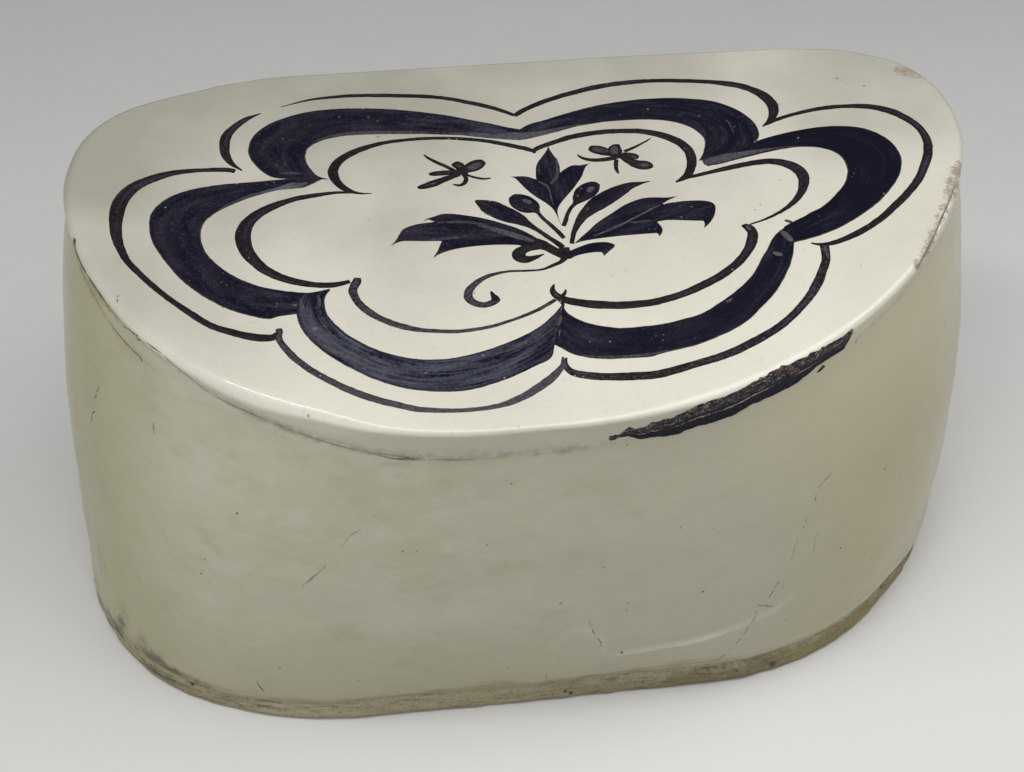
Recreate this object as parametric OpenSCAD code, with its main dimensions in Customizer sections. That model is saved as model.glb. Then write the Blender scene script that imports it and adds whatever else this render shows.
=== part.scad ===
// Hollow ceramic headrest, built of four clay slabs that are luted together:
// a sloping top, a wall bent round the front and both ends, a straight back
// wall and a base. A lobed panel with a flower and two insects is brushed on
// its top in dark slip.
// Millimetres, Z up from the table, +Y towards the straight back.

/* [Headrest slab] */
// Width of the top from end to end
rim_width = 300; // [284:1:330]
// Depth of the top from back to front, along its slope
rim_depth = 180; // [172:1:200]
// Radius of the two round ends
rim_end_radius = 52; // [40:1:60]
// Straight stretch in the middle of the front edge
rim_front_flat = 20; // [6:1:80]
// How far that stretch lies left of the middle
rim_skew = 12; // [0:1:20]
// Height of the top at its back edge
back_height = 144; // [126:1:164]
// Height of the top at its front edge
front_height = 122; // [106:1:140]
// Thickness of the top slab
slab_thickness = 10; // [8:0.5:14]
// Rounding of the top slab's upper edge
rim_round = 4; // [2:0.5:5]
// Rounding of the top slab's lower edge
rim_under_round = 2.5; // [1:0.5:2.5]
// Overhang of the top slab past the wall
rim_overhang = 1.5; // [0.5:0.5:4]

/* [Base slab] */
// Width of the base from end to end
base_width = 294; // [284:1:306]
// Depth of the base
base_depth = 164; // [154:1:172]
// Radius of the base's back corners
base_end_radius = 69; // [55:1:72]
// Straight stretch of the base's front edge
base_front_flat = 110; // [60:1:120]
// How far that stretch lies left of the base's middle
base_skew = 8; // [0:1:14]
// How far the base stands left of the top's middle
base_offset = 5; // [0:1:8]
// How far the base's front edge lies behind the top's
base_setback = 10; // [4:1:16]
// Thickness of the base slab
base_thickness = 7; // [6:0.5:12]
// Rounding of the base's foot
foot_round = 4; // [2:0.5:5]
// Groove where the base meets the wall
base_groove = 0.6; // [0.3:0.1:1.5]

/* [Walls] */
// Thickness of the wall slabs
wall_thickness = 9; // [7:0.5:12]
// Bulge of the front and end wall at half height
wall_bulge = 5.5; // [0:0.5:7]
// Diameter of the firing vent through the back wall
vent_diameter = 6; // [5:0.5:12]
// Height of the vent above the table
vent_height = 72; // [45:1:95]

/* [Luting coils] */
// Leg of the clay coils pressed into the inside corners
coil_leg = 9; // [5:0.5:12]
// Film of joining slip round each coil
slip_film = 0.2; // [0.1:0.05:0.4]

/* [Painting] */
// Width of the painted panel
panel_width = 274; // [220:1:276]
// Depth of the painted panel
panel_depth = 160; // [130:1:160]
// Bare margin kept between the panel and the edge
panel_margin = 5; // [4:0.5:20]
// Thickness of the painted slip
paint_thickness = 0.3; // [0.2:0.1:0.6]

/* [Hidden] */

glaze = "#d9d7c8";
side_glaze = "#a9a68e";
bare_clay = "#b59a6c";
dark_slip = "#231d26";

// Step between the wall's stations, in degrees of their outward direction
turn_step = 5;
// Levels of the wall, from its foot at 0 to its head at 1
levels = [for (k = [0 : 8]) k / 8];
// Step round a slab's rounded edge, in degrees
edge_step = 30;
// Spans of an upright coil
seam_spans = 6;
// How far a coil's face is pressed hollow, as a share of its leg
coil_press = 1 / 3;
// Pieces per knot of a brush line
brush_pieces = 4;
// Size at which the panel below is drawn
drawn_panel = [274, 160];
// Depth by which the foot is ground flat
foot_flat = 0.5;

tilt = asin((back_height - front_height) / rim_depth);
top_z = (back_height + front_height) / 2;
rim_front = rim_depth / 2 * cos(tilt);
base_y = base_depth / 2 + base_setback - rim_front;
rim_shape = [rim_width, rim_depth, rim_end_radius, rim_front_flat, rim_skew];
base_shape = [base_width, base_depth, base_end_radius, base_front_flat, base_skew];
panel_fit = [min(panel_width, rim_width - 2 * panel_margin) / drawn_panel.x,
    min(panel_depth, rim_depth - 2 * panel_margin) / drawn_panel.y];

// Stations round the outline: the left half from the back to the front, then the right half
left_stations = [for (dir = [90 : turn_step : 270]) [-1, dir]];
right_stations = [for (dir = [270 : turn_step : 450]) [1, dir]];
stations = concat(left_stations, right_stations);

function lerp(a, b, t) = a + (b - a) * t;
function reverse(list) = [for (i = [len(list) - 1 : -1 : 0]) list[i]];

// Point of an outline where it faces dir, moved outwards by grow. Each half is an end arc
// and a front arc that meet smoothly, with straight stretches at the back and the front.
function outline_point(shape, station, grow) =
    let (
        side = station[0],
        depth = shape[1],
        end_r = shape[2],
        flat = shape[3],
        skew = shape[4],
        reach = shape[0] / 2 + side * skew,
        run = reach - end_r - flat / 2,
        front_r = depth / 2 + run * run / (2 * (depth - 2 * end_r)),
        meet = atan2(depth - end_r - front_r, run),
        turn = side > 0 ? station[1] - 360 : 180 - station[1],
        on_end = turn > meet,
        centre = on_end ? [reach - end_r, depth / 2 - end_r] : [flat / 2, front_r - depth / 2],
        radius = (on_end ? end_r : front_r) + grow
    )
    [side * (centre.x + radius * cos(turn)) - skew, centre.y + radius * sin(turn)];

// From the top slab's own plane to the part's frame, z above the slab's face
function on_top(p, z) = [
    p.x,
    p.y * cos(tilt) - z * sin(tilt),
    top_z + p.y * sin(tilt) + z * cos(tilt)
];

// From the base's plan to the part's frame, z above the table
function on_base(p, z) = [p.x - base_offset, p.y + base_y, z];

// The wall swells round the front and the ends, and stays straight at the back
function swell(dir, t) = wall_bulge * sin(180 * t) * (1 - pow(max(0, sin(dir)), 2));

// Point of the wall at a station and a level, moved outwards by grow
function wall_point(station, t, grow) =
    let (
        dir = station[1],
        foot = on_base(outline_point(base_shape, station, grow), base_thickness),
        head = on_top(outline_point(rim_shape, station, grow - rim_overhang), -slab_thickness)
    )
    lerp(foot, head, t) + swell(dir, t) * [cos(dir), sin(dir), 0];

// Section through the wall at a station
function wall_section(station) = concat(
    [for (t = reverse(levels)) wall_point(station, t, 0)],
    [for (t = levels) wall_point(station, t, -wall_thickness)]
);

// Height of the wall at a station, and the level that lies a given distance up it
function wall_height(station) = norm(wall_point(station, 1, 0) - wall_point(station, 0, 0));
function level_at(station, up) = up / wall_height(station);

// Edge of a plate as [grow, z] pairs from its lower face to its upper one, which is at 0
function plate_edge(thickness, low_round, high_round) = concat(
    [for (a = [0 : edge_step : 90]) [low_round * (sin(a) - 1), low_round * (1 - cos(a)) - thickness]],
    [for (a = [0 : edge_step : 90]) [high_round * (cos(a) - 1), high_round * (sin(a) - 1)]]
);

// Middle of the part's plan, which stands over the origin
rim_edge_z = [-rim_round, rim_under_round - slab_thickness];
outermost = concat(
    [for (s = stations) for (t = levels) wall_point(s, t, 0)],
    [for (s = stations) for (z = rim_edge_z) on_top(outline_point(rim_shape, s, 0), z)]
);
function middle(values) = (min(values) + max(values)) / 2;
plan_middle = [middle([for (p = outermost) p.x]), middle([for (p = outermost) p.y]), 0];

module centred() {
    translate(-plan_middle)
        children();
}

// Closed solid over equal rings of points. A loop joins its last ring to its first.
module skin(rings, loop = false) {
    n = len(rings[0]);
    count = len(rings);
    spans = loop ? count : count - 1;
    sides = [
        for (k = [0 : spans - 1])
            for (i = [0 : n - 1])
                let (
                    j = (i + 1) % n,
                    low = k * n,
                    high = (k + 1) % count * n
                )
                each [[low + i, high + i, high + j], [low + i, high + j, low + j]]
    ];
    first = [for (i = [0 : n - 1]) i];
    last = [for (i = [n - 1 : -1 : 0]) (count - 1) * n + i];
    polyhedron([for (ring = rings) each ring], loop ? sides : concat(sides, [first, last]));
}

module headrest_slab() {
    color(glaze)
        centred()
            skin([
                for (e = plate_edge(slab_thickness, rim_under_round, rim_round))
                    [for (s = stations) on_top(outline_point(rim_shape, s, e[0]), e[1])]
            ]);
}

module front_wall() {
    color(side_glaze)
        centred()
            skin([for (s = stations) wall_section(s)]);
}

module back_wall() {
    vent_reach = 3 * wall_thickness;
    vent_y = wall_point(stations[0], 0.5, -wall_thickness / 2).y;
    color(side_glaze)
        centred()
            difference() {
                skin([wall_section(stations[len(stations) - 1]), wall_section(stations[0])]);
                translate([0, vent_y, vent_height])
                    rotate([90, 0, 0])
                        cylinder(d = vent_diameter, h = vent_reach, center = true, $fn = 48);
            }
}

module base_slab() {
    ground = 2 * max(base_width, base_depth);
    edge = plate_edge(base_thickness + foot_flat, foot_round, base_groove);
    color(bare_clay)
        centred()
            difference() {
                skin([
                    for (e = edge)
                        [for (s = stations) on_base(outline_point(base_shape, s, e[0]), e[1] + base_thickness)]
                ]);
                translate([-ground / 2, -ground / 2, -ground])
                    cube(ground);
            }
}

// Coil in the corner under the top slab, all the way round
module headrest_coil() {
    inner = -wall_thickness - slip_film;
    rings = [
        for (s = stations)
            let (
                low = 1 - level_at(s, coil_leg),
                mid = 1 - level_at(s, coil_leg * coil_press),
                high = 1 - level_at(s, slip_film)
            )
            [
                wall_point(s, high, inner),
                wall_point(s, low, inner),
                wall_point(s, mid, inner - coil_leg * coil_press),
                wall_point(s, high, inner - coil_leg)
            ]
    ];
    color(bare_clay)
        centred()
            skin(rings, loop = true);
}

// Coil in the corner on the base, all the way round
module base_coil() {
    inner = -wall_thickness - slip_film;
    rings = [
        for (s = stations)
            let (
                low = level_at(s, slip_film),
                mid = level_at(s, coil_leg * coil_press),
                high = level_at(s, coil_leg)
            )
            [
                wall_point(s, high, inner),
                wall_point(s, low, inner),
                wall_point(s, low, inner - coil_leg),
                wall_point(s, mid, inner - coil_leg * coil_press)
            ]
    ];
    color(bare_clay)
        centred()
            skin(rings, loop = true);
}

// Upright coil over the joint between the front wall and the back wall
module seam_coil(seam, next, inwards) {
    inner = -wall_thickness - slip_film;
    crown = inner - coil_leg / 2;
    room = coil_leg + 2 * slip_film;
    bottom = level_at(seam, room);
    top = 1 - level_at(seam, room);
    along = [inwards * coil_leg / 2, 0, 0];
    rings = [
        for (k = [0 : seam_spans])
            let (t = lerp(bottom, top, k / seam_spans))
            [
                wall_point(next, t, inner),
                wall_point(seam, t, inner),
                wall_point(seam, t, inner) + along,
                wall_point(seam, t, crown) + along / 2,
                wall_point(next, t, crown)
            ]
    ];
    color(bare_clay)
        centred()
            skin(inwards > 0 ? [for (ring = rings) reverse(ring)] : rings);
}

module left_seam_coil() seam_coil(left_stations[0], left_stations[1], 1);

module right_seam_coil() {
    last = len(right_stations) - 1;
    seam_coil(right_stations[last], right_stations[last - 1], -1);
}

// Smooth path through knots, which are [x, y] or [x, y, width] on the drawn panel
function knot(k, i) = k[max(0, min(len(k) - 1, i))];
function between(k, i, t) =
    let (a = knot(k, i - 1), b = knot(k, i), c = knot(k, i + 1), d = knot(k, i + 2))
    b + t / 2 * (c - a + t * (2 * a - 5 * b + 4 * c - d + t * (3 * b - a - 3 * c + d)));
function smooth_start(k) = [
    for (i = [0 : len(k) - 2])
        for (s = [0 : brush_pieces - 1])
            between(k, i, s / brush_pieces)
];
function smooth(k) = concat(smooth_start(k), [k[len(k) - 1]]);
function fit(p) = [p.x * panel_fit.x, p.y * panel_fit.y];

// Stroke of a pointed brush along [x, y, width] knots
module stroke(knots) {
    path = smooth(knots);
    last = len(path) - 1;
    edge = [
        for (i = [0 : last])
            let (
                from = path[max(0, i - 1)],
                to = path[min(last, i + 1)],
                run = [to.x - from.x, to.y - from.y],
                across = [-run.y, run.x] / norm(run) * path[i].z / 2,
                at = [path[i].x, path[i].y]
            )
            [fit(at + across), fit(at - across)]
    ];
    polygon(concat([for (e = edge) e[0]], reverse([for (e = edge) e[1]])));
}

// Stroke of a broad brush between its two edges
module broad_stroke(edges) {
    outer = smooth(edges[0]);
    inner = smooth(edges[1]);
    polygon([for (p = concat(outer, reverse(inner))) fit(p)]);
}

// Flat shape inside a ring of smooth edges
module leaf(edges) {
    polygon([for (e = edges) for (p = smooth_start(e)) fit(p)]);
}

// Lays flat shapes on the top slab as a coat of dark slip
module painted() {
    color(dark_slip)
        centred()
            translate([0, 0, top_z])
                rotate([tilt, 0, 0])
                    linear_extrude(paint_thickness)
                        children();
}

// Six lobes of the outer line, from the back left and anticlockwise
outer_strokes = [
    [[2, 61, 2], [-6, 66, 2.4], [-18, 72, 2.4], [-34, 75.5, 2.3], [-55, 78, 2], [-66, 77.5, 1.3],
        [-76, 75, 0.5]],
    [[-84, 71, 0.6], [-90, 69, 2.6], [-96, 61, 3.8], [-97, 53, 3.2], [-92, 42, 0.8]],
    [[-94, 42, 2.4], [-105, 43.5, 2.3], [-118, 42.5, 3.6], [-127, 38, 4.8], [-133, 28, 5],
        [-133, 9, 3.4],
        [-129, -2, 2.4], [-120, -16, 2.2], [-110, -28, 2.8], [-100, -36.5, 3.3], [-92, -41, 3.8],
        [-86, -41.5, 3]],
    [[-85, -38, 1.8], [-85, -43, 2.4], [-81, -51, 3], [-74, -60, 2.6], [-64, -69, 2.8], [-54, -75, 3],
        [-44, -79, 2.4], [-33, -80.5, 1.6], [-22, -79.5, 2.4], [-12, -75.5, 2.8], [-5, -70, 2.2],
        [1, -62, 1]],
    [[0, -65, 1.4], [5, -69, 2.8], [14, -71.5, 3.4], [26, -72.3, 3], [38, -70.5, 3], [50, -66.5, 3.1],
        [61, -61, 3.2], [71, -54.5, 2.6], [81, -45, 2.7], [88, -36, 3], [91, -28, 3.8], [91, -20, 3]],
    [[87, -17.5, 0.7], [94, -18.5, 2], [103, -15, 2.4], [113, -7.5, 2.4], [122, 2, 2.6],
        [130, 12, 2.9], [135, 22, 3.3],
        [138, 30, 3.4], [136, 39, 3.2], [131, 45.5, 3.3], [123, 50, 2.6], [114, 51.5, 2.2],
        [105, 50.5, 2], [86, 44, 0.7]],
    [[85, 43.5, 0.8], [88, 47, 2.5], [91, 53, 4], [89.5, 60, 3.8], [84, 66, 3.4], [76, 70, 2.8],
        [65, 73, 2.2],
        [52, 74.5, 1.9], [44, 74.5, 1.8], [30, 72.5, 2], [18, 69, 2.2], [8, 64.5, 2.4], [2, 60, 2.2]]
];

// Six lobes of the broad band: outer edge and inner edge
band_strokes = [
    [[[0, 53], [-10, 58], [-22, 63], [-35, 67.5], [-57, 71.5], [-77, 69], [-87, 59], [-88, 46],
        [-82, 37], [-72, 33]],
        [[0, 47], [-10, 50.5], [-22, 53], [-35, 55], [-48, 57], [-60, 58], [-68, 54], [-70, 48],
        [-68, 38], [-66, 33.5]]],
    [[[-66, 34.5], [-83, 35], [-100, 35], [-112, 33], [-121, 25], [-123, 15], [-119, 0],
        [-107, -19], [-91, -32], [-77, -32]],
        [[-64, 33.5], [-73, 31], [-83, 29], [-94, 25], [-102, 20.5], [-106, 12], [-104, 1],
        [-98, -9], [-88, -18], [-74, -21]]],
    [[[-78, -22], [-78, -32], [-72, -49], [-58, -64], [-42, -71], [-32, -72], [-22, -70.5],
        [-12, -66.5], [-3, -60.5], [1, -55]],
        [[-69, -20], [-69, -28], [-62, -43], [-55, -50.5], [-46, -55.5], [-38, -57.5],
        [-27, -56.5], [-17, -53.5], [-6, -47.5], [3, -40]]],
    [[[-1, -54], [5, -59], [15, -62.5], [27, -63.5], [37, -62], [50, -58], [67, -46], [76, -35],
        [81, -24], [83, -16]],
        [[3.5, -40], [8, -45.5], [15, -48.5], [27, -50], [38, -49], [50, -45.5], [61, -37.5],
        [69, -28], [75, -17], [81, -7]]],
    [[[80, -18], [97, -12], [108, -4.5], [120, 8.5], [127, 22], [126, 31], [117, 40], [100, 41.5],
        [82, 37], [64, 28]],
        [[80, -8.5], [93, -1.5], [100, 4.5], [105, 11], [107.5, 18], [107.5, 23], [105, 28.5],
        [98, 31.5], [83, 30], [63, 25.5]]],
    [[[68, 27], [79, 34], [83, 45], [79, 55], [70, 61], [57, 64], [45, 64.5], [33, 63.5],
        [16, 59], [1, 52]],
        [[60, 27], [63, 38], [62, 46], [57, 51.5], [49, 53], [41, 53], [33, 52.5], [25, 51.5],
        [13, 49.5], [1, 47.5]]]
];

// Six lobes of the inner line
inner_strokes = [
    [[5, 40.5, 0.8], [-4, 45, 1.9], [-14, 49, 1.6], [-25, 51, 1.6], [-36, 51.2, 1.8],
        [-45, 50, 2.2], [-53, 48, 2.7],
        [-59, 43.5, 3.3], [-61, 37, 3.6], [-60, 33, 3.3], [-56, 27.5, 2], [-51, 25, 0.6]],
    [[-53, 25.5, 0.6], [-60, 26, 1.3], [-70, 25, 1.9], [-79, 23, 2.4], [-87, 19.5, 3.5],
        [-92, 13.5, 5], [-93.5, 6, 5.2],
        [-91, -2, 4.4], [-87, -8.5, 3.3], [-80, -14.5, 2.5], [-72, -18, 2.2], [-63, -18.5, 2.2],
        [-58, -17, 1.8]],
    [[-58, -16.5, 2.4], [-60, -22, 2.5], [-59, -28, 2.4], [-56, -33, 2.2], [-50, -39, 2.2],
        [-43, -43, 1.9], [-34, -45.5, 1.5],
        [-26, -46, 1.3], [-15, -43.5, 1.6], [-6, -39.5, 1.9], [3, -34, 1.4]],
    [[3.5, -29, 0.7], [2, -32, 1.6], [5, -36, 2.2], [13, -38.5, 2.6], [22, -40.5, 2.7],
        [32, -40.5, 2.6], [42, -38, 2.3],
        [50, -34.5, 2.3], [58, -29.5, 2.5], [65, -22, 2.8], [69, -14, 3.2], [69, -7.5, 3.6]],
    [[70, -6, 0.6], [77, -3, 1.3], [85, 2, 2.2], [91, 8, 3.6], [93, 15, 4.6], [91, 21, 4],
        [86, 24.3, 3],
        [78, 25, 2.3], [70, 24, 1.8], [62, 22, 1.4], [54, 20, 0.6]],
    [[52, 19, 0.6], [56.5, 25, 2.6], [58, 31.5, 3.8], [55, 37.5, 3.6], [49, 42.3, 3.2],
        [41, 46, 2.7], [31, 47.8, 2.4],
        [20, 47, 2.1], [10, 44.5, 2], [4, 41, 1.3]]
];

// Leaves of the flower, each a ring of edges that meet at its points
spray_leaves = [
    [[[1, -9], [-2, -3.5], [-12, 6], [-24, 11], [-30, 11.5], [-35, 9.5]], [[-35, 9.5], [-33, 7.5],
        [-41, 5], [-47, -3]],
        [[-47, -3], [-40, -1], [-33, -1.5], [-31, -5], [-34, -10]], [[-34, -10], [-27, -7],
        [-15, -7.5], [-5, -9], [1, -9]]],
    [[[9.5, 1], [12, 12], [17, 24], [23, 31]], [[23, 31], [16, 29.5], [13, 25.5], [13, 34], [11, 42]],
        [[11, 42], [6, 36], [5, 30], [6, 23.5], [2, 27], [-4, 28.5]], [[-4, 28.5], [-1, 24],
        [4, 18], [8, 8], [9.5, 1]]],
    [[[15, -8], [23, 2], [34, 9.5], [49, 10.7]], [[49, 10.7], [46, 8.3], [55, 8.3], [60, 5],
        [58.5, 0], [55.5, -6]],
        [[55.5, -6], [54, -2], [47, -2.5], [40, -3.5], [40.5, -8.5]], [[40.5, -8.5], [38, -7],
        [25, -8.5], [15, -8]]]
];

// Single strokes of the flower: leaves, buds, root, hooks and tendril
spray_strokes = [
    [[5, -7, 1.2], [2, -2, 2.2], [-3, 4, 4], [-10, 11, 6.5], [-17, 17, 1.5]],
    [[8, -5, 0.8], [5, 2, 1.5], [2, 8, 2.4], [-1, 13, 8], [-4, 18.5, 3]],
    [[10.5, -5, 0.8], [12, 2, 1.2], [15, 11, 2], [19.5, 17, 8], [24, 21, 3]],
    [[13, -5, 1], [18, 2.5, 3.5], [25, 11, 6.5], [32, 17, 5], [41, 19.5, 0.5]],
    [[9.5, -6, 1], [9.5, -11, 3], [8, -15, 3], [4, -18, 1.5], [-2, -20, 1.2], [-10, -20, 1.4],
        [-18, -22, 2.4],
        [-24, -28, 4], [-22, -33, 4], [-17, -33, 4], [-17, -29, 0.8]],
    [[9, -14, 1.6], [14, -12, 3.2], [20, -11.5, 3.6], [23.5, -13, 2.4], [21, -17, 0.5]],
    [[9, -13, 1.6], [4, -11, 2], [-3, -11, 2.6], [-6.5, -14, 2.6], [-4, -17, 2.2], [2, -16.5, 0.6]]
];

// Feelers, wings, bodies and legs of the insects
left_insect_strokes = [
    [[-31, 43, 0.6], [-27, 37.5, 1.6], [-20, 33, 1.8]],
    [[-35, 25.5, 2], [-32, 27, 4], [-27, 30, 2.6], [-19, 33, 2.4]],
    [[-31, 32.5, 1.6], [-26, 32.5, 2.8], [-19, 33, 1.6]],
    [[-22, 38, 2], [-20.5, 36.5, 4], [-18.5, 32, 2]],
    [[-11, 37, 3], [-15, 35.5, 5.5], [-20, 32, 2.4]],
    [[-19, 33, 1.6], [-19, 28, 1.6], [-23, 25.5, 1]],
    [[-19, 32, 1.4], [-15, 29, 1.2], [-10, 28, 0.6]]
];
right_insect_strokes = [
    [[46, 42.5, 0.6], [40, 38.5, 1.2], [33, 35, 1.4]],
    [[24, 40.5, 3], [27, 38.5, 6], [34, 34.5, 2.4]],
    [[34, 41, 2.4], [34, 38, 4.6], [33, 34, 2]],
    [[20, 36.5, 1], [24, 33.8, 1.8], [33, 34, 2]],
    [[33, 35, 3], [38, 33, 3.6], [40, 30.5, 3.4], [43, 28, 5]],
    [[33, 34, 1.4], [31.5, 29.5, 1.6], [32, 25, 1]]
];

module outer_line() painted() for (s = outer_strokes) stroke(s);

module broad_band() painted() for (s = band_strokes) broad_stroke(s);

module inner_line() painted() for (s = inner_strokes) stroke(s);

module flower_spray() {
    painted() {
        for (l = spray_leaves) leaf(l);
        for (s = spray_strokes) stroke(s);
    }
}

module left_insect() painted() for (s = left_insect_strokes) stroke(s);

module right_insect() painted() for (s = right_insect_strokes) stroke(s);

headrest_slab();
front_wall();
back_wall();
base_slab();
headrest_coil();
base_coil();
left_seam_coil();
right_seam_coil();
outer_line();
broad_band();
inner_line();
flower_spray();
left_insect();
right_insect();
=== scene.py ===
# Glazed ceramic headrest with a brushed panel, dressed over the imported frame
import math
import bpy
import numpy as np
from mathutils import Matrix, Vector
from mathutils.geometry import delaunay_2d_cdt


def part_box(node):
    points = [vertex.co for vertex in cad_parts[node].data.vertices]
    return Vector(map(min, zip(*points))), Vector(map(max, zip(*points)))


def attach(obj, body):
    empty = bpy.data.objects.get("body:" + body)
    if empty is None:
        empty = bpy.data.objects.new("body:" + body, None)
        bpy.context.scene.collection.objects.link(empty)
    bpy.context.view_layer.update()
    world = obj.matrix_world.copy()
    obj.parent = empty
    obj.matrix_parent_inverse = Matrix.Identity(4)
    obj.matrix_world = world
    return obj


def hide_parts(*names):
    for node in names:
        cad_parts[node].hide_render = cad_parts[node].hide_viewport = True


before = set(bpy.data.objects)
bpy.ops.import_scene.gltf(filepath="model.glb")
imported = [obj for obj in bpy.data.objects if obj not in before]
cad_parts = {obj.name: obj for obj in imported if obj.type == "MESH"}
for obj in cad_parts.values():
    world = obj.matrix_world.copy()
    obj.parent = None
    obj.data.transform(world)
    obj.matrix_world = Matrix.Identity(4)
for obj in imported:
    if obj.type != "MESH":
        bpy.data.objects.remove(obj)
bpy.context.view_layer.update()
mm = 0.001
print("frame loaded,", len(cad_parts), "nodes")

# sizes in millimetres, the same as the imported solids
form = {
    "rim": {"width": 300, "depth": 180, "end": 52, "flat": 20, "skew": 12},
    "foot": {"width": 294, "depth": 164, "end": 69, "flat": 110, "skew": 8},
    "backHeight": 144, "frontHeight": 122,
    "slab": 10, "base": 7, "wall": 9, "bulge": 5.5,
    "footLeft": 5, "footSetback": 10,
}
slope = math.asin((form["backHeight"] - form["frontHeight"]) / form["rim"]["depth"])
topMiddle = (form["backHeight"] + form["frontHeight"]) / 2
footY = form["footSetback"] + form["foot"]["depth"] / 2 - form["rim"]["depth"] / 2 * math.cos(slope)
slabLow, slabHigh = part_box("headrest_slab")
baseLow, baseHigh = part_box("base_slab")
shift = np.array([(slabLow.x + slabHigh.x) / 2 / mm, (baseLow.y + baseHigh.y) / 2 / mm - footY, 0])

# size of the noise table and where reading starts
noise = {"cells": 32, "start": 7.3}


def softNoise(points, size, seed):
    # smooth lumps of about this size in mm, from -1 to 1
    cells = noise["cells"]
    table = np.random.default_rng(seed).uniform(-1, 1, (cells, cells, cells))
    p = np.asarray(points, float) / size + noise["start"]
    cell = np.floor(p).astype(int)
    f = p - cell
    f = f * f * (3 - 2 * f)
    total = 0
    for corner in np.ndindex(2, 2, 2):
        share = np.prod(np.where(np.array(corner) == 1, f, 1 - f), axis=-1)
        i = (cell + np.array(corner)) % cells
        total = total + share * table[i[..., 0], i[..., 1], i[..., 2]]
    return total


def smoothStep(value, low, high):
    f = np.clip((value - low) / (high - low), 0, 1)
    return f * f * (3 - 2 * f)


def bell(value, centre, half):
    return np.exp(-((value - centre) / half) ** 2)


def onTop(x, y, z):
    x, y, z = np.broadcast_arrays(x, y, z)
    return np.stack([x, y * math.cos(slope) - z * math.sin(slope),
                     topMiddle + y * math.sin(slope) + z * math.cos(slope)], -1) + shift


def onBase(x, y, z):
    x, y, z = np.broadcast_arrays(x, y, z)
    return np.stack([x - form["footLeft"], y + footY, z], -1) + shift


# the slab was beaten flat by hand and sank a little in the middle
topShape = {"sag": 0.7, "roll": 0.3, "rollX": 47, "rollY": 39, "ripple": 0.2, "rippleLength": 31}


def topHeight(x, y):
    halfWidth, halfDepth = form["rim"]["width"] / 2, form["rim"]["depth"] / 2
    sag = topShape["sag"] * np.clip(1 - (x / halfWidth) ** 2, 0, 1) * np.clip(1 - (y / halfDepth) ** 2, 0, 1)
    roll = topShape["roll"] * np.sin(x / topShape["rollX"] + 1.1) * np.cos(y / topShape["rollY"] - 0.4)
    return roll + topShape["ripple"] * np.sin((x - 1.7 * y) / topShape["rippleLength"]) - sag


# the way round: left end, front, right end, then straight along the back
turnCount = 241
flatCount = 64
backCount = 130
leftTurn = np.linspace(90, 270, turnCount)
rightTurn = np.linspace(270, 450, turnCount)
flatSteps = np.arange(1, flatCount) / flatCount
backSteps = np.arange(0, backCount + 1) / backCount
facing = np.concatenate([leftTurn, np.full(flatCount - 1, 270), rightTurn,
                         np.full(backCount - 1, 450)])
outward = np.stack([np.cos(np.radians(facing)), np.sin(np.radians(facing))], 1)
frontRun = np.arange(2 * turnCount + flatCount - 1)
backRun = np.append(np.arange(frontRun[-1], len(facing)), 0)


def arcPoint(shape, side, turnDeg):
    reach = shape["width"] / 2 + side * shape["skew"]
    run = reach - shape["end"] - shape["flat"] / 2
    frontR = shape["depth"] / 2 + run ** 2 / (2 * (shape["depth"] - 2 * shape["end"]))
    meet = math.degrees(math.atan2(shape["depth"] - shape["end"] - frontR, run))
    turn = turnDeg - 360 if side > 0 else 180 - turnDeg
    onEnd = turn > meet
    cx = np.where(onEnd, reach - shape["end"], shape["flat"] / 2)
    cy = np.where(onEnd, shape["depth"] / 2 - shape["end"], frontR - shape["depth"] / 2)
    radius = np.where(onEnd, shape["end"], frontR)
    turn = np.radians(turn)
    return np.stack([side * (cx + radius * np.cos(turn)) - shape["skew"], cy + radius * np.sin(turn)], 1)


def outlineOf(shape):
    left = arcPoint(shape, -1, leftTurn)
    right = arcPoint(shape, 1, rightTurn)
    flat = left[-1] + (right[0] - left[-1]) * flatSteps[:, None]
    back = right[-1] + (left[0] - right[-1]) * backSteps[1:-1, None]
    return np.concatenate([left, flat, right, back])


rimLine = outlineOf(form["rim"])
footLine = outlineOf(form["foot"])


def ringFaces(rows, cols, closed):
    r, c = np.meshgrid(np.arange(rows - 1), np.arange(cols if closed else cols - 1), indexing="ij")
    d = (c + 1) % cols
    return np.stack([r * cols + c, r * cols + d, (r + 1) * cols + d, (r + 1) * cols + c], -1).reshape(-1, 4)


def capRings(rings, first, last, flip):
    # a closed run of rings, with a fan to a middle point at each end
    rows, n = len(rings), len(rings[0])
    end = (rows - 1) * n
    faces = ringFaces(rows, n, True).tolist()
    fans = [[(i + 1) % n, i, rows * n] for i in range(n)]
    fans += [[end + i, end + (i + 1) % n, rows * n + 1] for i in range(n)]
    if flip:
        faces = [face[::-1] for face in faces]
        fans = [[b, a, c] for a, b, c in fans]
    return np.concatenate(rings + [first[None], last[None]]), faces + fans


sharpAngle = math.radians(60)
farOff = 1e9


def makePiece(name, verts, faces, finish, nodes, uv=None, values=None):
    mesh = bpy.data.meshes.new(name)
    mesh.from_pydata((np.asarray(verts) * mm).tolist(), [], [list(map(int, f)) for f in faces])
    mesh.shade_smooth()
    if uv is not None:
        layer = mesh.uv_layers.new(name="brushMap")
        ends = np.empty(len(mesh.loops), int)
        mesh.loops.foreach_get("vertex_index", ends)
        layer.data.foreach_set("uv", np.asarray(uv)[ends].ravel())
    for key, value in (values or {}).items():
        mesh.attributes.new(key, "FLOAT", "POINT").data.foreach_set("value", np.asarray(value, float))
    mesh.set_sharp_from_angle(angle=sharpAngle)
    mesh.materials.append(finish)
    piece = bpy.data.objects.new(name, mesh)
    bpy.context.scene.collection.objects.link(piece)
    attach(piece, "root")
    if nodes:
        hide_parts(*nodes)
    return piece


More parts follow.
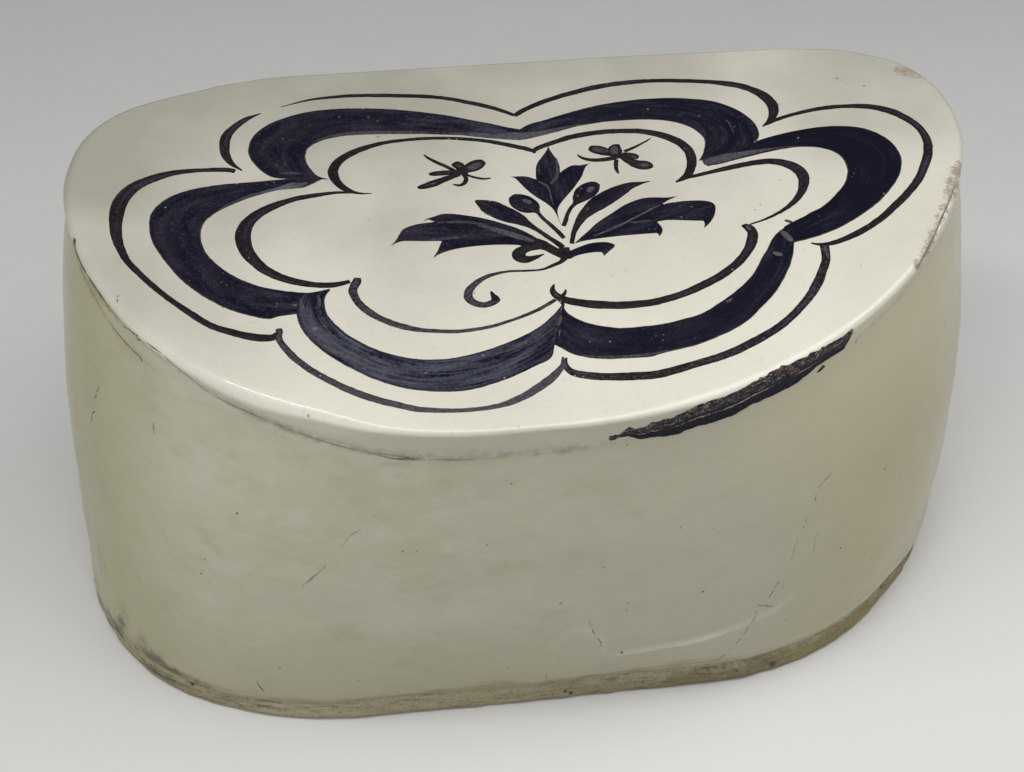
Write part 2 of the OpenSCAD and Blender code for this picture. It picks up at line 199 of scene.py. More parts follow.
class Finish:
    # one material, with short calls for its nodes
    def __init__(self, name):
        self.material = bpy.data.materials.new(name)
        self.material.use_nodes = True
        self.tree = self.material.node_tree
        self.shader = self.tree.nodes["Principled BSDF"]
        self.where = self.put("TexCoord").outputs["Object"]

    def put(self, kind, values=None, **settings):
        node = self.tree.nodes.new("ShaderNode" + kind)
        for key, value in settings.items():
            setattr(node, key, value)
        for key, value in (values or {}).items():
            if isinstance(value, bpy.types.NodeSocket):
                self.tree.links.new(value, node.inputs[key])
            else:
                node.inputs[key].default_value = value
        return node

    def axis(self, key):
        return self.put("SeparateXYZ", {0: self.where}).outputs[key]

    def blend(self, share, first, second):
        first, second = (c if isinstance(c, bpy.types.NodeSocket) else (*c, 1) for c in (first, second))
        return self.put("Mix", {0: share, 6: first, 7: second}, data_type="RGBA").outputs[2]

    def spread(self, value, low, high, toLow=0.0, toHigh=1.0):
        return self.put("MapRange", {"Value": value, "From Min": low, "From Max": high,
                                     "To Min": toLow, "To Max": toHigh}).outputs[0]

    def tinge(self, tint, level, low, high, share, colour):
        # lays a colour over the tint as the level goes from low to high
        return self.blend(self.spread(level, low, high, 0, share), tint, colour)

    def sums(self, way, first, second):
        return self.put("Math", {0: first, 1: second}, operation=way).outputs[0]

    def add(self, first, second):
        return self.sums("ADD", first, second)

    def times(self, first, second):
        return self.sums("MULTIPLY", first, second)

    def stretch(self, scale, turn=(0, 0, 0), where=None):
        start = self.where if where is None else where
        return self.put("Mapping", {"Vector": start, "Rotation": turn, "Scale": scale}).outputs[0]

    def grain(self, scale, detail=3.0, rough=0.5, where=None):
        start = self.where if where is None else where
        return self.put("TexNoise", {"Vector": start, "Scale": scale, "Detail": detail,
                                     "Roughness": rough}).outputs["Fac"]

    def dots(self, scale):
        return self.put("TexVoronoi", {"Vector": self.where, "Scale": scale}).outputs["Distance"]

    def brushLane(self, along, across):
        lane = self.put("UVMap", uv_map="brushMap").outputs[0]
        return self.stretch((along, across, 1), where=lane)

    def value(self, name):
        return self.put("Attribute", attribute_name=name).outputs["Fac"]

    def close(self, tint, rough=None, relief=None, depth=0.0, strength=0.0, **constants):
        links = {"Base Color": tint}
        if rough is not None:
            links["Roughness"] = rough
        if relief is not None:
            bump = self.put("Bump", {"Height": relief, "Distance": depth, "Strength": strength})
            links["Normal"] = bump.outputs[0]
        for key, value in links.items():
            self.tree.links.new(value, self.shader.inputs[key])
        names = {"coat": "Coat Weight", "coatRough": "Coat Roughness", "gloss": "Specular IOR Level",
                 "dull": "Roughness"}
        for key, value in constants.items():
            self.shader.inputs[names[key]].default_value = value
        return self.material


# clear glaze over white slip: ivory on the top, thinner and greyer down the walls; the thin colour is painted
# shade for the back of the top
glazeLook = {
    "cream": (0.84, 0.803, 0.685), "ivory": (0.70, 0.67, 0.57), "thin": (0.43, 0.415, 0.34),
    "wall": (0.475, 0.455, 0.345), "pooledAndShaded": (0.43, 0.412, 0.305), "wallPale": (0.515, 0.49, 0.385),
    "olive": (0.32, 0.295, 0.145), "warm": (0.405, 0.368, 0.21), "shoulderLight": (0.515, 0.468, 0.32),
    "low": (0.37, 0.347, 0.24), "stainAndShade": (0.105, 0.093, 0.052), "speck": (0.06, 0.05, 0.04),
    "chip": (0.41, 0.315, 0.235), "chipDark": (0.25, 0.205, 0.135),
    "clay": (0.32, 0.28, 0.165), "clayDark": (0.12, 0.10, 0.052),
    "rough": 0.27, "bareRough": 0.85, "coatRough": 0.05, "bump": 0.0003,
    "topCoat": 0.7, "topGloss": 0.5, "wallCoat": 0.3, "wallGloss": 0.3,
}


def makeGlaze(name, coat, gloss):
    look, pot = glazeLook, Finish(name)
    x, y, z = (pot.axis(key) for key in "XYZ")
    runs = pot.stretch((0.5, 0.5, 1.6))
    smudge = pot.stretch((0.7, 0.8, 1.2), (0, 0.25, 0))
    layers = pot.stretch((0.6, 0.6, 7))
    # painted shade: the top darkens from the right front towards the back and the left end, where less light
    # falls, with random mottling mixed in
    far = pot.spread(pot.add(y, pot.times(x, -0.1)), -0.10, 0.095)
    far = pot.add(far, pot.spread(pot.grain(16, 4), 0.3, 0.7, -0.22, 0.22))
    far = pot.add(far, pot.spread(x, -0.05, -0.14, 0, 0.2))
    top = pot.blend(pot.spread(far, 0, 0.5), look["cream"], look["ivory"])
    top = pot.tinge(top, far, 0.5, 1, 1, look["thin"])
    # the wall: runs and smudges, then low down, left end, middle, right end and right shoulder. The darkening
    # low down and from the middle rightwards is painted shade, and the right end is yellower with painted
    # shade in it
    wall = pot.blend(pot.spread(pot.grain(26, 5, where=runs), 0.36, 0.66), look["pooledAndShaded"], look["wall"])
    # painted light: the upper right of the wall, under the rim, is made paler
    shoulder = pot.times(pot.spread(x, 0.05, 0.09), pot.spread(z, 0.07, 0.105))
    for level, low, high, share, colour in (
            (pot.grain(11, 3, where=runs), 0.48, 0.72, 0.7, "wallPale"),
            (pot.grain(150, 3, where=runs), 0.5, 0.75, 0.3, "low"),
            (pot.grain(70, 5, 0.6, smudge), 0.52, 0.70, 0.6, "low"),
            (pot.grain(120, 4, 0.6, smudge), 0.54, 0.70, 0.5, "wallPale"),
            (z, 0.05, 0.01, 0.8, "low"),
            (x, -0.112, -0.15, 0.9, "olive"),
            (x, -0.03, 0.04, 0.6, "pooledAndShaded"),
            (x, 0.065, 0.115, 0.85, "warm"),
            (shoulder, 0, 1, 0.7, "shoulderLight")):
        wall = pot.tinge(wall, level, low, high, share, look[colour])
    side = pot.add(pot.value("side"), pot.spread(pot.grain(70), 0, 1, -0.2, 0.2))
    tint = pot.blend(pot.spread(side, 0.1, 0.9), top, wall)
    tint = pot.tinge(tint, pot.grain(520), 0.6, 0.75, 0.2, look["pooledAndShaded"])
    tint = pot.tinge(tint, pot.dots(66), 0.045, 0.02, 0.55, look["speck"])
    # bare and dirty clay near the foot, in level layers
    low = pot.value("low")
    bare = pot.add(low, pot.spread(pot.grain(70, 5, 0.65, layers), 0.2, 0.8, -0.7, 0.7))
    bare = pot.times(pot.spread(bare, 0.3, 0.8, 0, 0.9), pot.spread(low, 0, 0.1))
    clay = pot.blend(pot.spread(pot.grain(150, 5, 0.7, layers), 0.55, 0.68), look["clay"], look["clayDark"])
    tint = pot.blend(bare, tint, clay)
    # painted highlights along the ridges, dirt and painted shade in the seams, and chips in the rim
    ridge = pot.times(pot.value("ridge"), pot.spread(pot.grain(60), 0.35, 0.65, 0.1, 0.5))
    tint = pot.blend(ridge, tint, look["cream"])
    seam = pot.times(pot.value("seam"), pot.spread(pot.grain(300, 5, 0.65), 0.38, 0.62, 0.1, 1))
    tint = pot.tinge(tint, seam, 0.05, 0.9, 0.85, look["stainAndShade"])
    ragged = pot.add(pot.value("worn"), pot.spread(pot.grain(850, 5, 0.7), 0.2, 0.8, -0.6, 0.6))
    chip = pot.spread(ragged, 0.45, 0.8, 0, 0.85)
    broken = pot.blend(pot.spread(pot.grain(900), 0.4, 0.6), look["chip"], look["chipDark"])
    tint = pot.blend(chip, tint, broken)
    rough = pot.spread(pot.sums("MAXIMUM", bare, chip), 0, 1, look["rough"], look["bareRough"])
    skin = pot.add(pot.grain(90), pot.times(pot.grain(600, 2), 0.15))
    skin = pot.sums("SUBTRACT", skin, pot.times(chip, 0.6))
    return pot.close(tint, rough, skin, look["bump"], 0.5,
                     coat=coat, coatRough=look["coatRough"], gloss=gloss)


# unglazed stoneware of the base and the hidden coils
clayLook = {
    "buff": (0.25, 0.215, 0.12), "dark": (0.075, 0.06, 0.03), "pale": (0.345, 0.305, 0.19),
    "red": (0.27, 0.18, 0.12), "washed": (0.36, 0.335, 0.23), "chalk": (0.41, 0.37, 0.25),
    "shade": (0.13, 0.105, 0.045), "ochre": (0.30, 0.245, 0.11), "rough": 0.8, "bump": 0.0014,
}


def makeBareClay():
    look, pot = clayLook, Finish("bareClay")
    x, z = pot.axis("X"), pot.axis("Z")
    layers = pot.stretch((0.6, 0.6, 7))
    grit = pot.grain(1100, 3, 0.6)
    tint = pot.blend(pot.spread(pot.grain(90, 5, 0.6, layers), 0.38, 0.64), look["buff"], look["pale"])
    # palest left of the middle, painted shadow to the right of it, and at the right end yellower clay made
    # lighter with painted light
    chalk = pot.times(pot.spread(x, 0.04, -0.075), pot.spread(x, -0.12, -0.095))
    shade = pot.times(pot.spread(x, 0.02, 0.05), pot.spread(x, 0.09, 0.065))
    # glaze that ran down over the edge in places, most at the left end
    drip = pot.add(z, pot.spread(pot.grain(70, 5, 0.65), 0.25, 0.75, -0.006, 0.006))
    drip = pot.add(drip, pot.spread(x, -0.08, -0.125, 0, 0.004))
    dirt = pot.add(pot.grain(150, 5, 0.7, layers), pot.spread(x, -0.10, -0.13, 0, 0.05))
    for level, low, high, share, colour in (
            (pot.grain(60, 4, 0.6), 0.54, 0.68, 0.8, "red"),
            (chalk, 0, 1, 0.8, "chalk"),
            (shade, 0, 1, 0.5, "shade"),
            (x, 0.06, 0.09, 0.6, "ochre"),
            (drip, 0.0055, 0.008, 0.9, "washed"),
            (dirt, 0.55, 0.65, 0.85, "dark"),
            (grit, 0.56, 0.68, 0.5, "dark")):
        tint = pot.tinge(tint, level, low, high, share, look[colour])
    rough = pot.spread(grit, 0.3, 0.7, look["rough"] - 0.1, look["rough"] + 0.1)
    lumps = pot.add(pot.grain(260, 4), pot.times(grit, 0.4))
    return pot.close(tint, rough, lumps, look["bump"], 0.9)


# iron-black slip, laid on with a brush
slipLook = {
    "black": (0.0044, 0.0039, 0.0125), "brown": (0.021, 0.0165, 0.028), "blue": (0.040, 0.043, 0.080),
    "line": (0.0115, 0.0085, 0.0095), "lineThin": (0.026, 0.0205, 0.0215), "streak": (0.098, 0.102, 0.140),
    "wash": (0.135, 0.132, 0.150), "edge": (0.115, 0.10, 0.085), "fleck": (0.42, 0.40, 0.36),
    "rough": 0.42, "gloss": 0.1, "bump": 0.00006,
}


def makeDarkSlip():
    look, pot = slipLook, Finish("darkSlip")
    streak = pot.grain(1.0, 4, 0.6, pot.brushLane(5, 85))
    patch = pot.grain(1.0, 3, where=pot.brushLane(6, 22))
    mottle = pot.grain(850, 4, 0.65)
    dry, pale, rim = (pot.value(key) for key in ("dry", "pale", "rim"))
    tint = pot.blend(pot.spread(patch, 0.38, 0.66), look["black"], look["brown"])
    tint = pot.tinge(tint, mottle, 0.54, 0.74, 0.65, look["blue"])
    tint = pot.tinge(tint, pot.grain(2300, 2), 0.62, 0.72, 0.6, look["streak"])
    tint = pot.tinge(tint, pot.axis("X"), -0.02, 0.09, 0.95, look["black"])
    line = pot.blend(pot.spread(mottle, 0.4, 0.66), look["line"], look["lineThin"])
    tint = pot.blend(pot.times(pot.value("fine"), 0.85), tint, line)
    # where the hairs of the brush ran dry, away from the edges of the stroke
    level = pot.add(pot.times(streak, 0.5), pot.times(patch, 0.25))
    level = pot.add(level, pot.times(mottle, 0.25))
    level = pot.add(level, pot.times(dry, 0.16))
    thin = pot.times(pot.spread(level, 0.54, 0.72), pot.spread(dry, 0.05, 0.8, 0.1, 0.95))
    tint = pot.blend(pot.times(thin, pot.spread(rim, 0.7, 0.15)), tint, look["streak"])
    fade = pot.add(pale, pot.spread(mottle, 0.2, 0.8, -0.35, 0.35))
    fade = pot.times(pot.spread(fade, 0.1, 0.95), pot.spread(pale, 0, 0.1))
    tint = pot.blend(fade, tint, look["wash"])
    worn = pot.add(rim, pot.spread(mottle, 0.2, 0.8, -0.15, 0.15))
    tint = pot.tinge(tint, worn, 0.66, 0.98, 0.8, look["edge"])
    # pin holes where the white ground shows
    fleck = pot.times(pot.spread(pot.dots(420), 0.16, 0.09), pot.spread(pot.grain(150, 2), 0.60, 0.66))
    tint = pot.blend(pot.times(fleck, 0.8), tint, look["fleck"])
    rough = pot.spread(streak, 0.3, 0.7, look["rough"] - 0.06, look["rough"] + 0.12)
    return pot.close(tint, rough, pot.add(streak, mottle), look["bump"], 0.5, gloss=look["gloss"])


# dirt caught in cracks and pin holes
dirtLook = {
    "dark": (0.055, 0.045, 0.032), "brown": (0.10, 0.08, 0.05), "faint": (0.33, 0.31, 0.22), "rough": 0.75,
}


def makeCrackDirt():
    look, pot = dirtLook, Finish("crackDirt")
    tint = pot.blend(pot.spread(pot.grain(700), 0.4, 0.65), look["dark"], look["brown"])
    faint = pot.add(pot.value("faint"), pot.spread(pot.grain(480), 0.3, 0.7, -0.15, 0.15))
    tint = pot.tinge(tint, faint, 0, 1, 1, look["faint"])
    rough = pot.spread(pot.grain(900, 2), 0.3, 0.7, look["rough"] - 0.1, look["rough"] + 0.1)
    return pot.close(tint, rough)


# the smear on the rim: dried slip with the pale ground showing through its grain
smearLook = {
    "black": (0.0085, 0.0085, 0.019), "brown": (0.033, 0.027, 0.036), "ground": (0.42, 0.38, 0.31),
    "rust": (0.15, 0.095, 0.085), "rough": 0.6, "gloss": 0.15, "bump": 0.0004,
}


def makeCrustedSlip():
    look, pot = smearLook, Finish("crustedSlip")
    streak = pot.grain(1.0, 4, 0.65, pot.brushLane(24, 75))
    crumbs = pot.grain(1700, 4, 0.75)
    dry = pot.value("dry")
    brown = pot.times(pot.spread(crumbs, 0.4, 0.62), pot.spread(dry, 0, 1, 0.15, 1))
    tint = pot.blend(brown, look["black"], look["brown"])
    rust = pot.times(pot.spread(pot.grain(420, 4, 0.65), 0.5, 0.62), pot.spread(dry, 0.4, 1, 0, 0.6))
    tint = pot.blend(rust, tint, look["rust"])
    level = pot.add(pot.times(streak, 0.35), pot.times(crumbs, 0.65))
    level = pot.add(level, pot.spread(dry, 0, 1.7, -0.13, 0.11))
    tint = pot.tinge(tint, level, 0.53, 0.63, 0.85, look["ground"])
    relief = pot.add(crumbs, pot.times(streak, 0.6))
    rough = pot.spread(crumbs, 0.3, 0.7, look["rough"] - 0.15, look["rough"] + 0.2)
    return pot.close(tint, rough, relief, look["bump"], 0.5, gloss=look["gloss"])


topGlaze = makeGlaze("topGlaze", glazeLook["topCoat"], glazeLook["topGloss"])
wallGlaze = makeGlaze("wallGlaze", glazeLook["wallCoat"], glazeLook["wallGloss"])
bareClay = makeBareClay()
darkSlip = makeDarkSlip()
crustedSlip = makeCrustedSlip()
crackDirt = makeCrackDirt()
print("finishes made")

# how the rim, the joint under it and the foot change on the way round
edgeLine = {
    "blur": 8,
    # as rise, facing and width: folds under the rim, where it tucks in, the second crack, the foot line
    "folds": [(0.6, 204, 18), (0.8, 243, 15), (0.5, 265, 9), (0.4, 318, 14), (0.7, 2, 20)],
    "tuck": [(1.3, 0, 28), (0.5, 176, 14), (0.8, 270, 20)],
    "valley": [(3, 270, 24)],
    "second": [(1, 204, 12)],
    "toe": [(1.1, 222, 18), (-1.8, 326, 15), (-0.9, 314, 8)],
    "sole": [(1.3, 262, 30), (1.2, 300, 25), (-0.3, 225, 20)],
    # where the pale slip runs further over the lip, and where painted shade lies under it
    "slipRun": [(0.3, 230, 14)],
    "lipShade": [(0.28, 264, 16)],
    # where the rolled edge opens slowly on to the side: share, then facings of its start and end
    "open": [(1, 186, 200, 243, 256), (0.3, 285, 300, 325, 345)],
    # as facing and mm: how far the hand-cut rim strays from the drawn D, then along the back by x
    "stray": [
        (90, -0.4), (99, -1.7), (108, -1.3), (117, -0.8), (122, 0.4), (130, 1.3), (140, 2.3), (153, 2.2),
        (160, 1.4), (170, 0.8), (185, 0.3), (200, 0), (315, 0), (326, 0.5), (338, 0.9), (350, 1.2),
        (364, 1.7), (378, 3), (387, 3.9), (400, 3.9), (405, 3.1), (410, 2), (418, 0.6), (427, 0),
        (434, -1.7), (441, -2.2), (450, -1.7),
    ],
    "backStray": [
        (-98, -0.4), (-92, 1.1), (-84, 3), (-74, 3.3), (-60, 2.7), (0, 1.2), (40, 0.9), (60, 0),
        (98, -1.7),
    ],
    # radius of the rolled edge, depth of the joint under it and of the second crack below that
    "lip": [
        (90, 1.9), (130, 2.8), (160, 4.2), (180, 3.5), (195, 3.8), (203, 5.4), (214, 5.6), (222, 4.6),
        (230, 3.6), (237, 3), (243, 2.2), (249, 1.8), (256, 1.2), (270, 1.2), (278, 1.6), (286, 2.2),
        (300, 2.6), (345, 2.6), (450, 1.9),
    ],
    "joint": [
        (90, 8.4), (175, 5.5), (190, 3.9), (216, 3.7), (222, 3.9), (226, 5), (232, 7.2), (240, 8.9),
        (250, 11.3), (258, 12.7), (270, 12.7), (290, 10), (308, 6.9), (320, 5.5), (345, 6), (380, 8),
        (450, 8.4),
    ],
    "secondDrop": [
        (190, 0.2), (197, 1.8), (203, 2.9), (208, 4.8), (212, 5.5), (215, 5.8), (220, 7),
    ],
}


def hump(centre, width):
    return bell((facing - centre + 180) % 360 - 180, 0, width)


def humps(key):
    return sum(rise * hump(centre, width) for rise, centre, width in edgeLine[key])


def byFacing(key):
    return np.interp(facing, *np.transpose(edgeLine[key]))


rimPoints = np.column_stack([rimLine, np.zeros(len(facing))])
footPoints = np.column_stack([footLine, np.zeros(len(facing))])
alongBack = backRun[1:-1]
stray = byFacing("stray")
stray[alongBack] = np.interp(rimLine[alongBack, 0], *np.transpose(edgeLine["backStray"]))
stray = np.mean([np.roll(stray, k) for k in range(-edgeLine["blur"], edgeLine["blur"] + 1)], 0)
lipRound = byFacing("lip")
jointDepth = byFacing("joint")
openLip = sum(share * smoothStep(facing, a, b) * (1 - smoothStep(facing, c, d))
              for share, a, b, c, d in edgeLine["open"])
ring = {
    "turn": facing, "rim": rimLine, "foot": footLine, "out": outward,
    "lip": lipRound + 0.2 * softNoise(rimPoints, 38, 12),
    "wide": lipRound + openLip * np.clip(2 * jointDepth - 2 * lipRound - 0.6, 0, 18),
    "grow": stray + 0.4 * softNoise(rimPoints, 55, 11),
    "joint": jointDepth + 0.3 * softNoise(rimPoints, 18, 14),
    "crease": np.clip(humps("folds"), 0, 1.3) * (0.85 + 0.3 * softNoise(rimPoints, 14, 5)) + 0.04,
    "tuck": humps("tuck"), "valleyWidth": 1.5 + humps("valley"),
    "toe": 0.4 * softNoise(footPoints, 24, 31) + 0.3 * softNoise(footPoints, 6, 32) + humps("toe"),
    "sole": 0.9 * softNoise(footPoints, 38, 34) + 0.4 * softNoise(footPoints, 9, 35) + humps("sole"),
    "second": humps("second"), "secondDrop": byFacing("secondDrop"),
}


def someOf(run):
    return {key: value[run] for key, value in ring.items()}


# top slab: a flat D with a rounded lip
headrestSlab = {
    "centre": (0.0, 8.0), "topRings": 26, "lipRings": 26, "crowd": 1.5,
    "under": (4, 7.5, 22),  # how far in the rings under the slab lie
    "bend": math.pi / 3, "valley": 0.95,
    "chipDepth": 0.4, "chipFade": 1.5, "chipSpread": 1.3, "chipHeart": (0, 0, -4),
    # chips as facing, mm over the lip, size in mm, strength
    "chips": [
        (38, -2.2, 2.2, 0.8), (36, -1.4, 2.4, 0.85), (33.8, -0.8, 2.2, 0.75), (31, -0.2, 1.8, 0.6),
        (341.5, 2.4, 2.4, 0.75), (340, 1.6, 2.4, 0.9), (338, 1.2, 2.6, 0.95), (336, 0.9, 2.4, 0.85),
        (334.5, 0.6, 2, 0.6), (332.5, 0.5, 2, 0.7), (330.6, 0.4, 1.9, 0.75), (329, 0.5, 1.9, 0.6),
        (327.4, 0.9, 2, 0.75), (326, 1.4, 1.9, 0.7), (324.4, 1.9, 2, 0.75), (323, 2.3, 1.8, 0.65),
        (321.6, 2.8, 2, 0.75), (191, 3.8, 1.5, 0.6),
    ],
}


def ringAt(value, scale=facing, run=frontRun):
    # the ring at any facing of the front run, or at any x where that is the scale
    value = np.atleast_1d(np.asarray(value, float))
    if scale is facing:
        value = np.where(value < 90, value + 360, value)
    part = {}
    for key, held in someOf(run).items():
        columns = held if held.ndim == 2 else held[:, None]
        fine = np.stack([np.interp(value, scale[run], c) for c in columns.T], 1)
        part[key] = fine if held.ndim == 2 else fine[:, 0]
    return part


def lipSize(part):
    # length, inset and depth of the rolled edge
    bend = headrestSlab["bend"]
    tight, wide = part["lip"], part["wide"]
    length = tight * bend + wide * (math.pi / 2 - bend)
    inset = tight * math.sin(bend) + wide * (1 - math.sin(bend))
    return length, inset, tight * (1 - math.cos(bend)) + wide * math.cos(bend)


def lipPoint(part, s, proud=0.0):
    # points s mm over the lip from the edge of the flat top, standing proud by some mm
    keys = ("lip", "wide", "grow", "joint", "crease", "tuck", "valleyWidth")
    tight, wide, grow, joint, crease, tuck, valleyWidth = (part[key][:, None] for key in keys)
    length, inset, _ = (size[:, None] for size in lipSize(part))
    bend = headrestSlab["bend"]
    first = np.clip(s / tight, 0, bend)
    turn = first + np.clip((s - tight * bend) / wide, 0, math.pi / 2 - bend)
    fall = np.maximum(s - length, 0)
    down = tight * (1 - np.cos(first)) + wide * (np.cos(first) - np.cos(turn)) + fall
    valley = (headrestSlab["valley"] * crease + tuck) * bell(joint, down, valleyWidth)
    reach = grow - inset + np.minimum(s, 0)
    out = reach + np.sin(first) * tight + (np.sin(turn) - np.sin(first)) * wide + np.sin(turn) * proud
    out = out - valley * smoothStep(turn, 0.8, 1.57)
    at = lambda far: part["rim"][:, None] + part["out"][:, None] * far[..., None]
    edge, p = at(reach + 0 * s), at(out)
    z = (topHeight(edge[..., 0], edge[..., 1]) + proud) * np.cos(turn) - down
    return onTop(p[..., 0], p[..., 1], z)


def jointAt(part):
    # a large roll meets the wall before it is upright
    length, _, deep = lipSize(part)
    short = part["lip"] * np.arccos(1 - np.minimum(part["joint"] / part["lip"], 1))
    return np.where(part["joint"] < deep, short, length + part["joint"] - deep)


def buildSlab():
    look, n = headrestSlab, len(facing)
    part = someOf(np.arange(n))
    flat = rimLine + outward * (part["grow"] - lipSize(part)[1])[:, None]
    centre = np.array(look["centre"])
    rings = []
    for s in np.linspace(0, 1, look["topRings"] + 1)[1:]:
        p = centre + (flat - centre) * (1 - (1 - s) ** look["crowd"])
        rings.append(onTop(p[:, 0], p[:, 1], topHeight(p[:, 0], p[:, 1])))
    joint = jointAt(part)
    over = [joint * share ** look["crowd"] for share in np.linspace(0, 1, look["lipRings"] + 1)[1:]]
    rings += list(lipPoint(part, np.stack(over, 1)).transpose(1, 0, 2))
    for k, inset in enumerate(look["under"]):
        p = rimLine - outward * inset
        rings.append(onTop(p[:, 0], p[:, 1], -form["slab"] if k else -part["joint"]))
    verts, faces = capRings(rings, onTop(*centre, topHeight(*centre)), onTop(*centre, -form["slab"]), True)
    worn = np.zeros(len(verts))
    for turn, along, size, strength in look["chips"]:
        away = np.linalg.norm(verts - lipPoint(ringAt(turn), np.array([[along]]))[0, 0], axis=1)
        near = np.clip(look["chipFade"] - away / (look["chipSpread"] * size), 0, 1)
        worn = np.maximum(worn, strength * near)
    inward = onTop(*look["chipHeart"]) - verts
    inward /= np.linalg.norm(inward, axis=1)[:, None]
    verts = verts + look["chipDepth"] * smoothStep(worn, 0.3, 1)[:, None] * inward
    # the pale slip runs over the lip further at the left front than at the right
    side, seam = np.zeros((len(rings), n)), np.zeros((len(rings), n))
    tight = part["lip"] * look["bend"]
    late = (joint - tight) * (0.09 + humps("slipRun"))
    first = look["topRings"]
    for k, s in enumerate(over):
        side[first + k] = smoothStep(s, 0.8 * tight + 0.6 * late, tight + 1.2 + 1.2 * late)
        # dark along the joint, spreading up the side above it as painted shade under the rolled edge
        down = smoothStep(s / joint, 0.4, 1)
        seam[first + k] = 0.7 * part["crease"] * down ** 4 + humps("lipShade") * down
    side[first + len(over):] = 1
    values = {"worn": worn, "side": np.append(side.ravel(), [0, 1]), "seam": np.append(seam.ravel(), [0, 0])}
    return makePiece("headrestSlab", verts, faces, topGlaze, ["headrest_slab"], values=values)


slabPiece = buildSlab()
print("top slab built,", len(slabPiece.data.polygons), "faces")

# walls: one slab bent round the front and ends, one straight at the back
walls = {
    "rightSwell": 2.2, "leftSwell": -0.9, "lumps": 0.8, "dents": 0.4, "footRound": 0.4, "ease": 3.0,
    "lowGlaze": 7,
    # the vent: its column is looked for on this row, and so many squares are opened each way
    "vent": {"x": 0, "z": 72, "size": 6, "level": 80, "reach": 3},
    # rows of points from foot to rim, closest where the relief is fine
    "levels": [(0, 0.08, 22), (0.08, 0.36, 40), (0.36, 0.86, 36), (0.86, 1, 44)],
    "innerLevels": 12, "fineLevels": 160,
    # raised or sunk spots on the front as x, z, half width, half height, rise
    "spots": [
        (-50.5, 109.6, 4.6, 2, 0.8), (-50, 106.4, 5, 1.4, -0.4), (-30, 108.4, 14, 1.5, -0.4),
        (-88, 30, 16, 12, 0.3), (20, 70, 30, 9, -0.25), (60, 85, 20, 12, 0.3), (-20, 50, 26, 8, 0.25),
    ],
    "fold": {
        "path": [(16, 20), (22, 20.8), (39, 23.1), (52, 25.8), (70, 30.5), (77, 36)],
        "rise": 0.9, "half": 1.3,
    },
    "scar": {"x": 5.7, "z": 23, "halfWidth": 9.2, "halfHeight": 14, "rise": 0.6},
    # grime as x, z, half width, half height, strength
    "grime": [
        (-94, 43, 9, 1.2, 0.12), (-74, 31, 8, 1.2, 0.12), (22, 60, 14, 1.4, 0.14), (-131, 9.5, 4, 3, 2.4),
        (-126, 9, 5, 1.6, 1.6), (-141, 13.5, 1.6, 2.5, 2), (-143, 9, 3, 3, 1.6), (-118, 8.5, 5, 1.4, 1.2),
        (-134, 13, 2, 5, 0.9), (-139, 20, 2, 4, 0.4), (-146, 30, 2, 8, 0.5), (-60, 8, 12, 1.2, 0.4),
    ],
}


def beside(x, z, path):
    # distance of points from a path, and how far along it they lie from 0 to 1
    best = np.full(np.shape(x), farOff)
    along = np.zeros(np.shape(x))
    for k, ((ax, az), (bx, bz)) in enumerate(zip(path, path[1:])):
        length = (bx - ax) ** 2 + (bz - az) ** 2
        t = np.clip(((x - ax) * (bx - ax) + (z - az) * (bz - az)) / length, 0, 1)
        far = np.hypot(x - ax - t * (bx - ax), z - az - t * (bz - az))
        along = np.where(far < best, (k + t) / (len(path) - 1), along)
        best = np.minimum(best, far)
    return best, along


def wallRelief(points, rise, drop, part):
    turn, crease, second, deep = (part[key][:, None] for key in ("turn", "crease", "second", "secondDrop"))
    x, z = points[..., 0], points[..., 2]
    rightward = np.maximum(0, np.cos(np.radians(turn)))
    front = np.sin(np.radians(turn)) < -0.3
    calm = smoothStep(rise, 0, 12) * smoothStep(drop, 0, 14)
    relief = calm * (walls["lumps"] * softNoise(points, 44, 21) + walls["dents"] * softNoise(points, 17, 22))
    # the crease under the rim and the crack below it
    relief += headrestSlab["valley"] * crease * (1 - bell(drop, 0, 1.9)) + 0.35 * crease * bell(drop, 6, 3)
    shelf = smoothStep(drop, 0, 2) * (1 - smoothStep(drop - deep, -1.5, 0.3))
    relief += 0.6 * second * (shelf - bell(drop, deep, 0.8))
    # the foot, rounder at the right end
    under = walls["footRound"] + 1.4 * rightward
    bend = np.clip(1 - rise / under, 0, 1)
    relief -= 0.7 * under * (1 - np.sqrt(np.maximum(0, 1 - bend ** 2)))
    relief += 0.9 * rightward * bell(rise, 4.5, 2.2)
    # spots, the fold and the scar on the front
    spots = sum(lift * bell(x, sx, wide) * bell(z, sz, tall) for sx, sz, wide, tall, lift in walls["spots"])
    fold, scar = walls["fold"], walls["scar"]
    far, along = beside(x, z, fold["path"])
    ridge = bell(far, 0, fold["half"]) * np.sin(np.pi * np.clip(along, 0.001, 0.999)) ** 0.5
    fromScar = np.hypot((x - scar["x"]) / scar["halfWidth"], (z - scar["z"]) / scar["halfHeight"])
    fromScar = fromScar + 0.05 * softNoise(points, 9, 24)
    spots = spots + fold["rise"] * ridge + scar["rise"] * (1 - smoothStep(fromScar, 0.9, 1.04))
    # from here the ridge mask is a painted highlight: on the fold, on the upper edge of the scar and on the
    # foot ridge at the right end
    ridge = np.maximum(ridge, 0.4 * bell(fromScar, 0.92, 0.12) * (z > scar["z"] - 2))
    ridge = np.maximum(ridge, 0.6 * bell(rise, 4.6, 1.1) * bell(turn, 322, 22))
    seam = np.maximum(np.minimum(crease, 1) * bell(drop, 0, 1.2), 0.9 * second * bell(drop, deep, 0.7))
    for sx, sz, wide, tall, strength in walls["grime"]:
        seam = np.maximum(seam, front * strength * bell(x, sx, wide) * bell(z, sz, tall))
    return relief + front * spots, seam, front * ridge


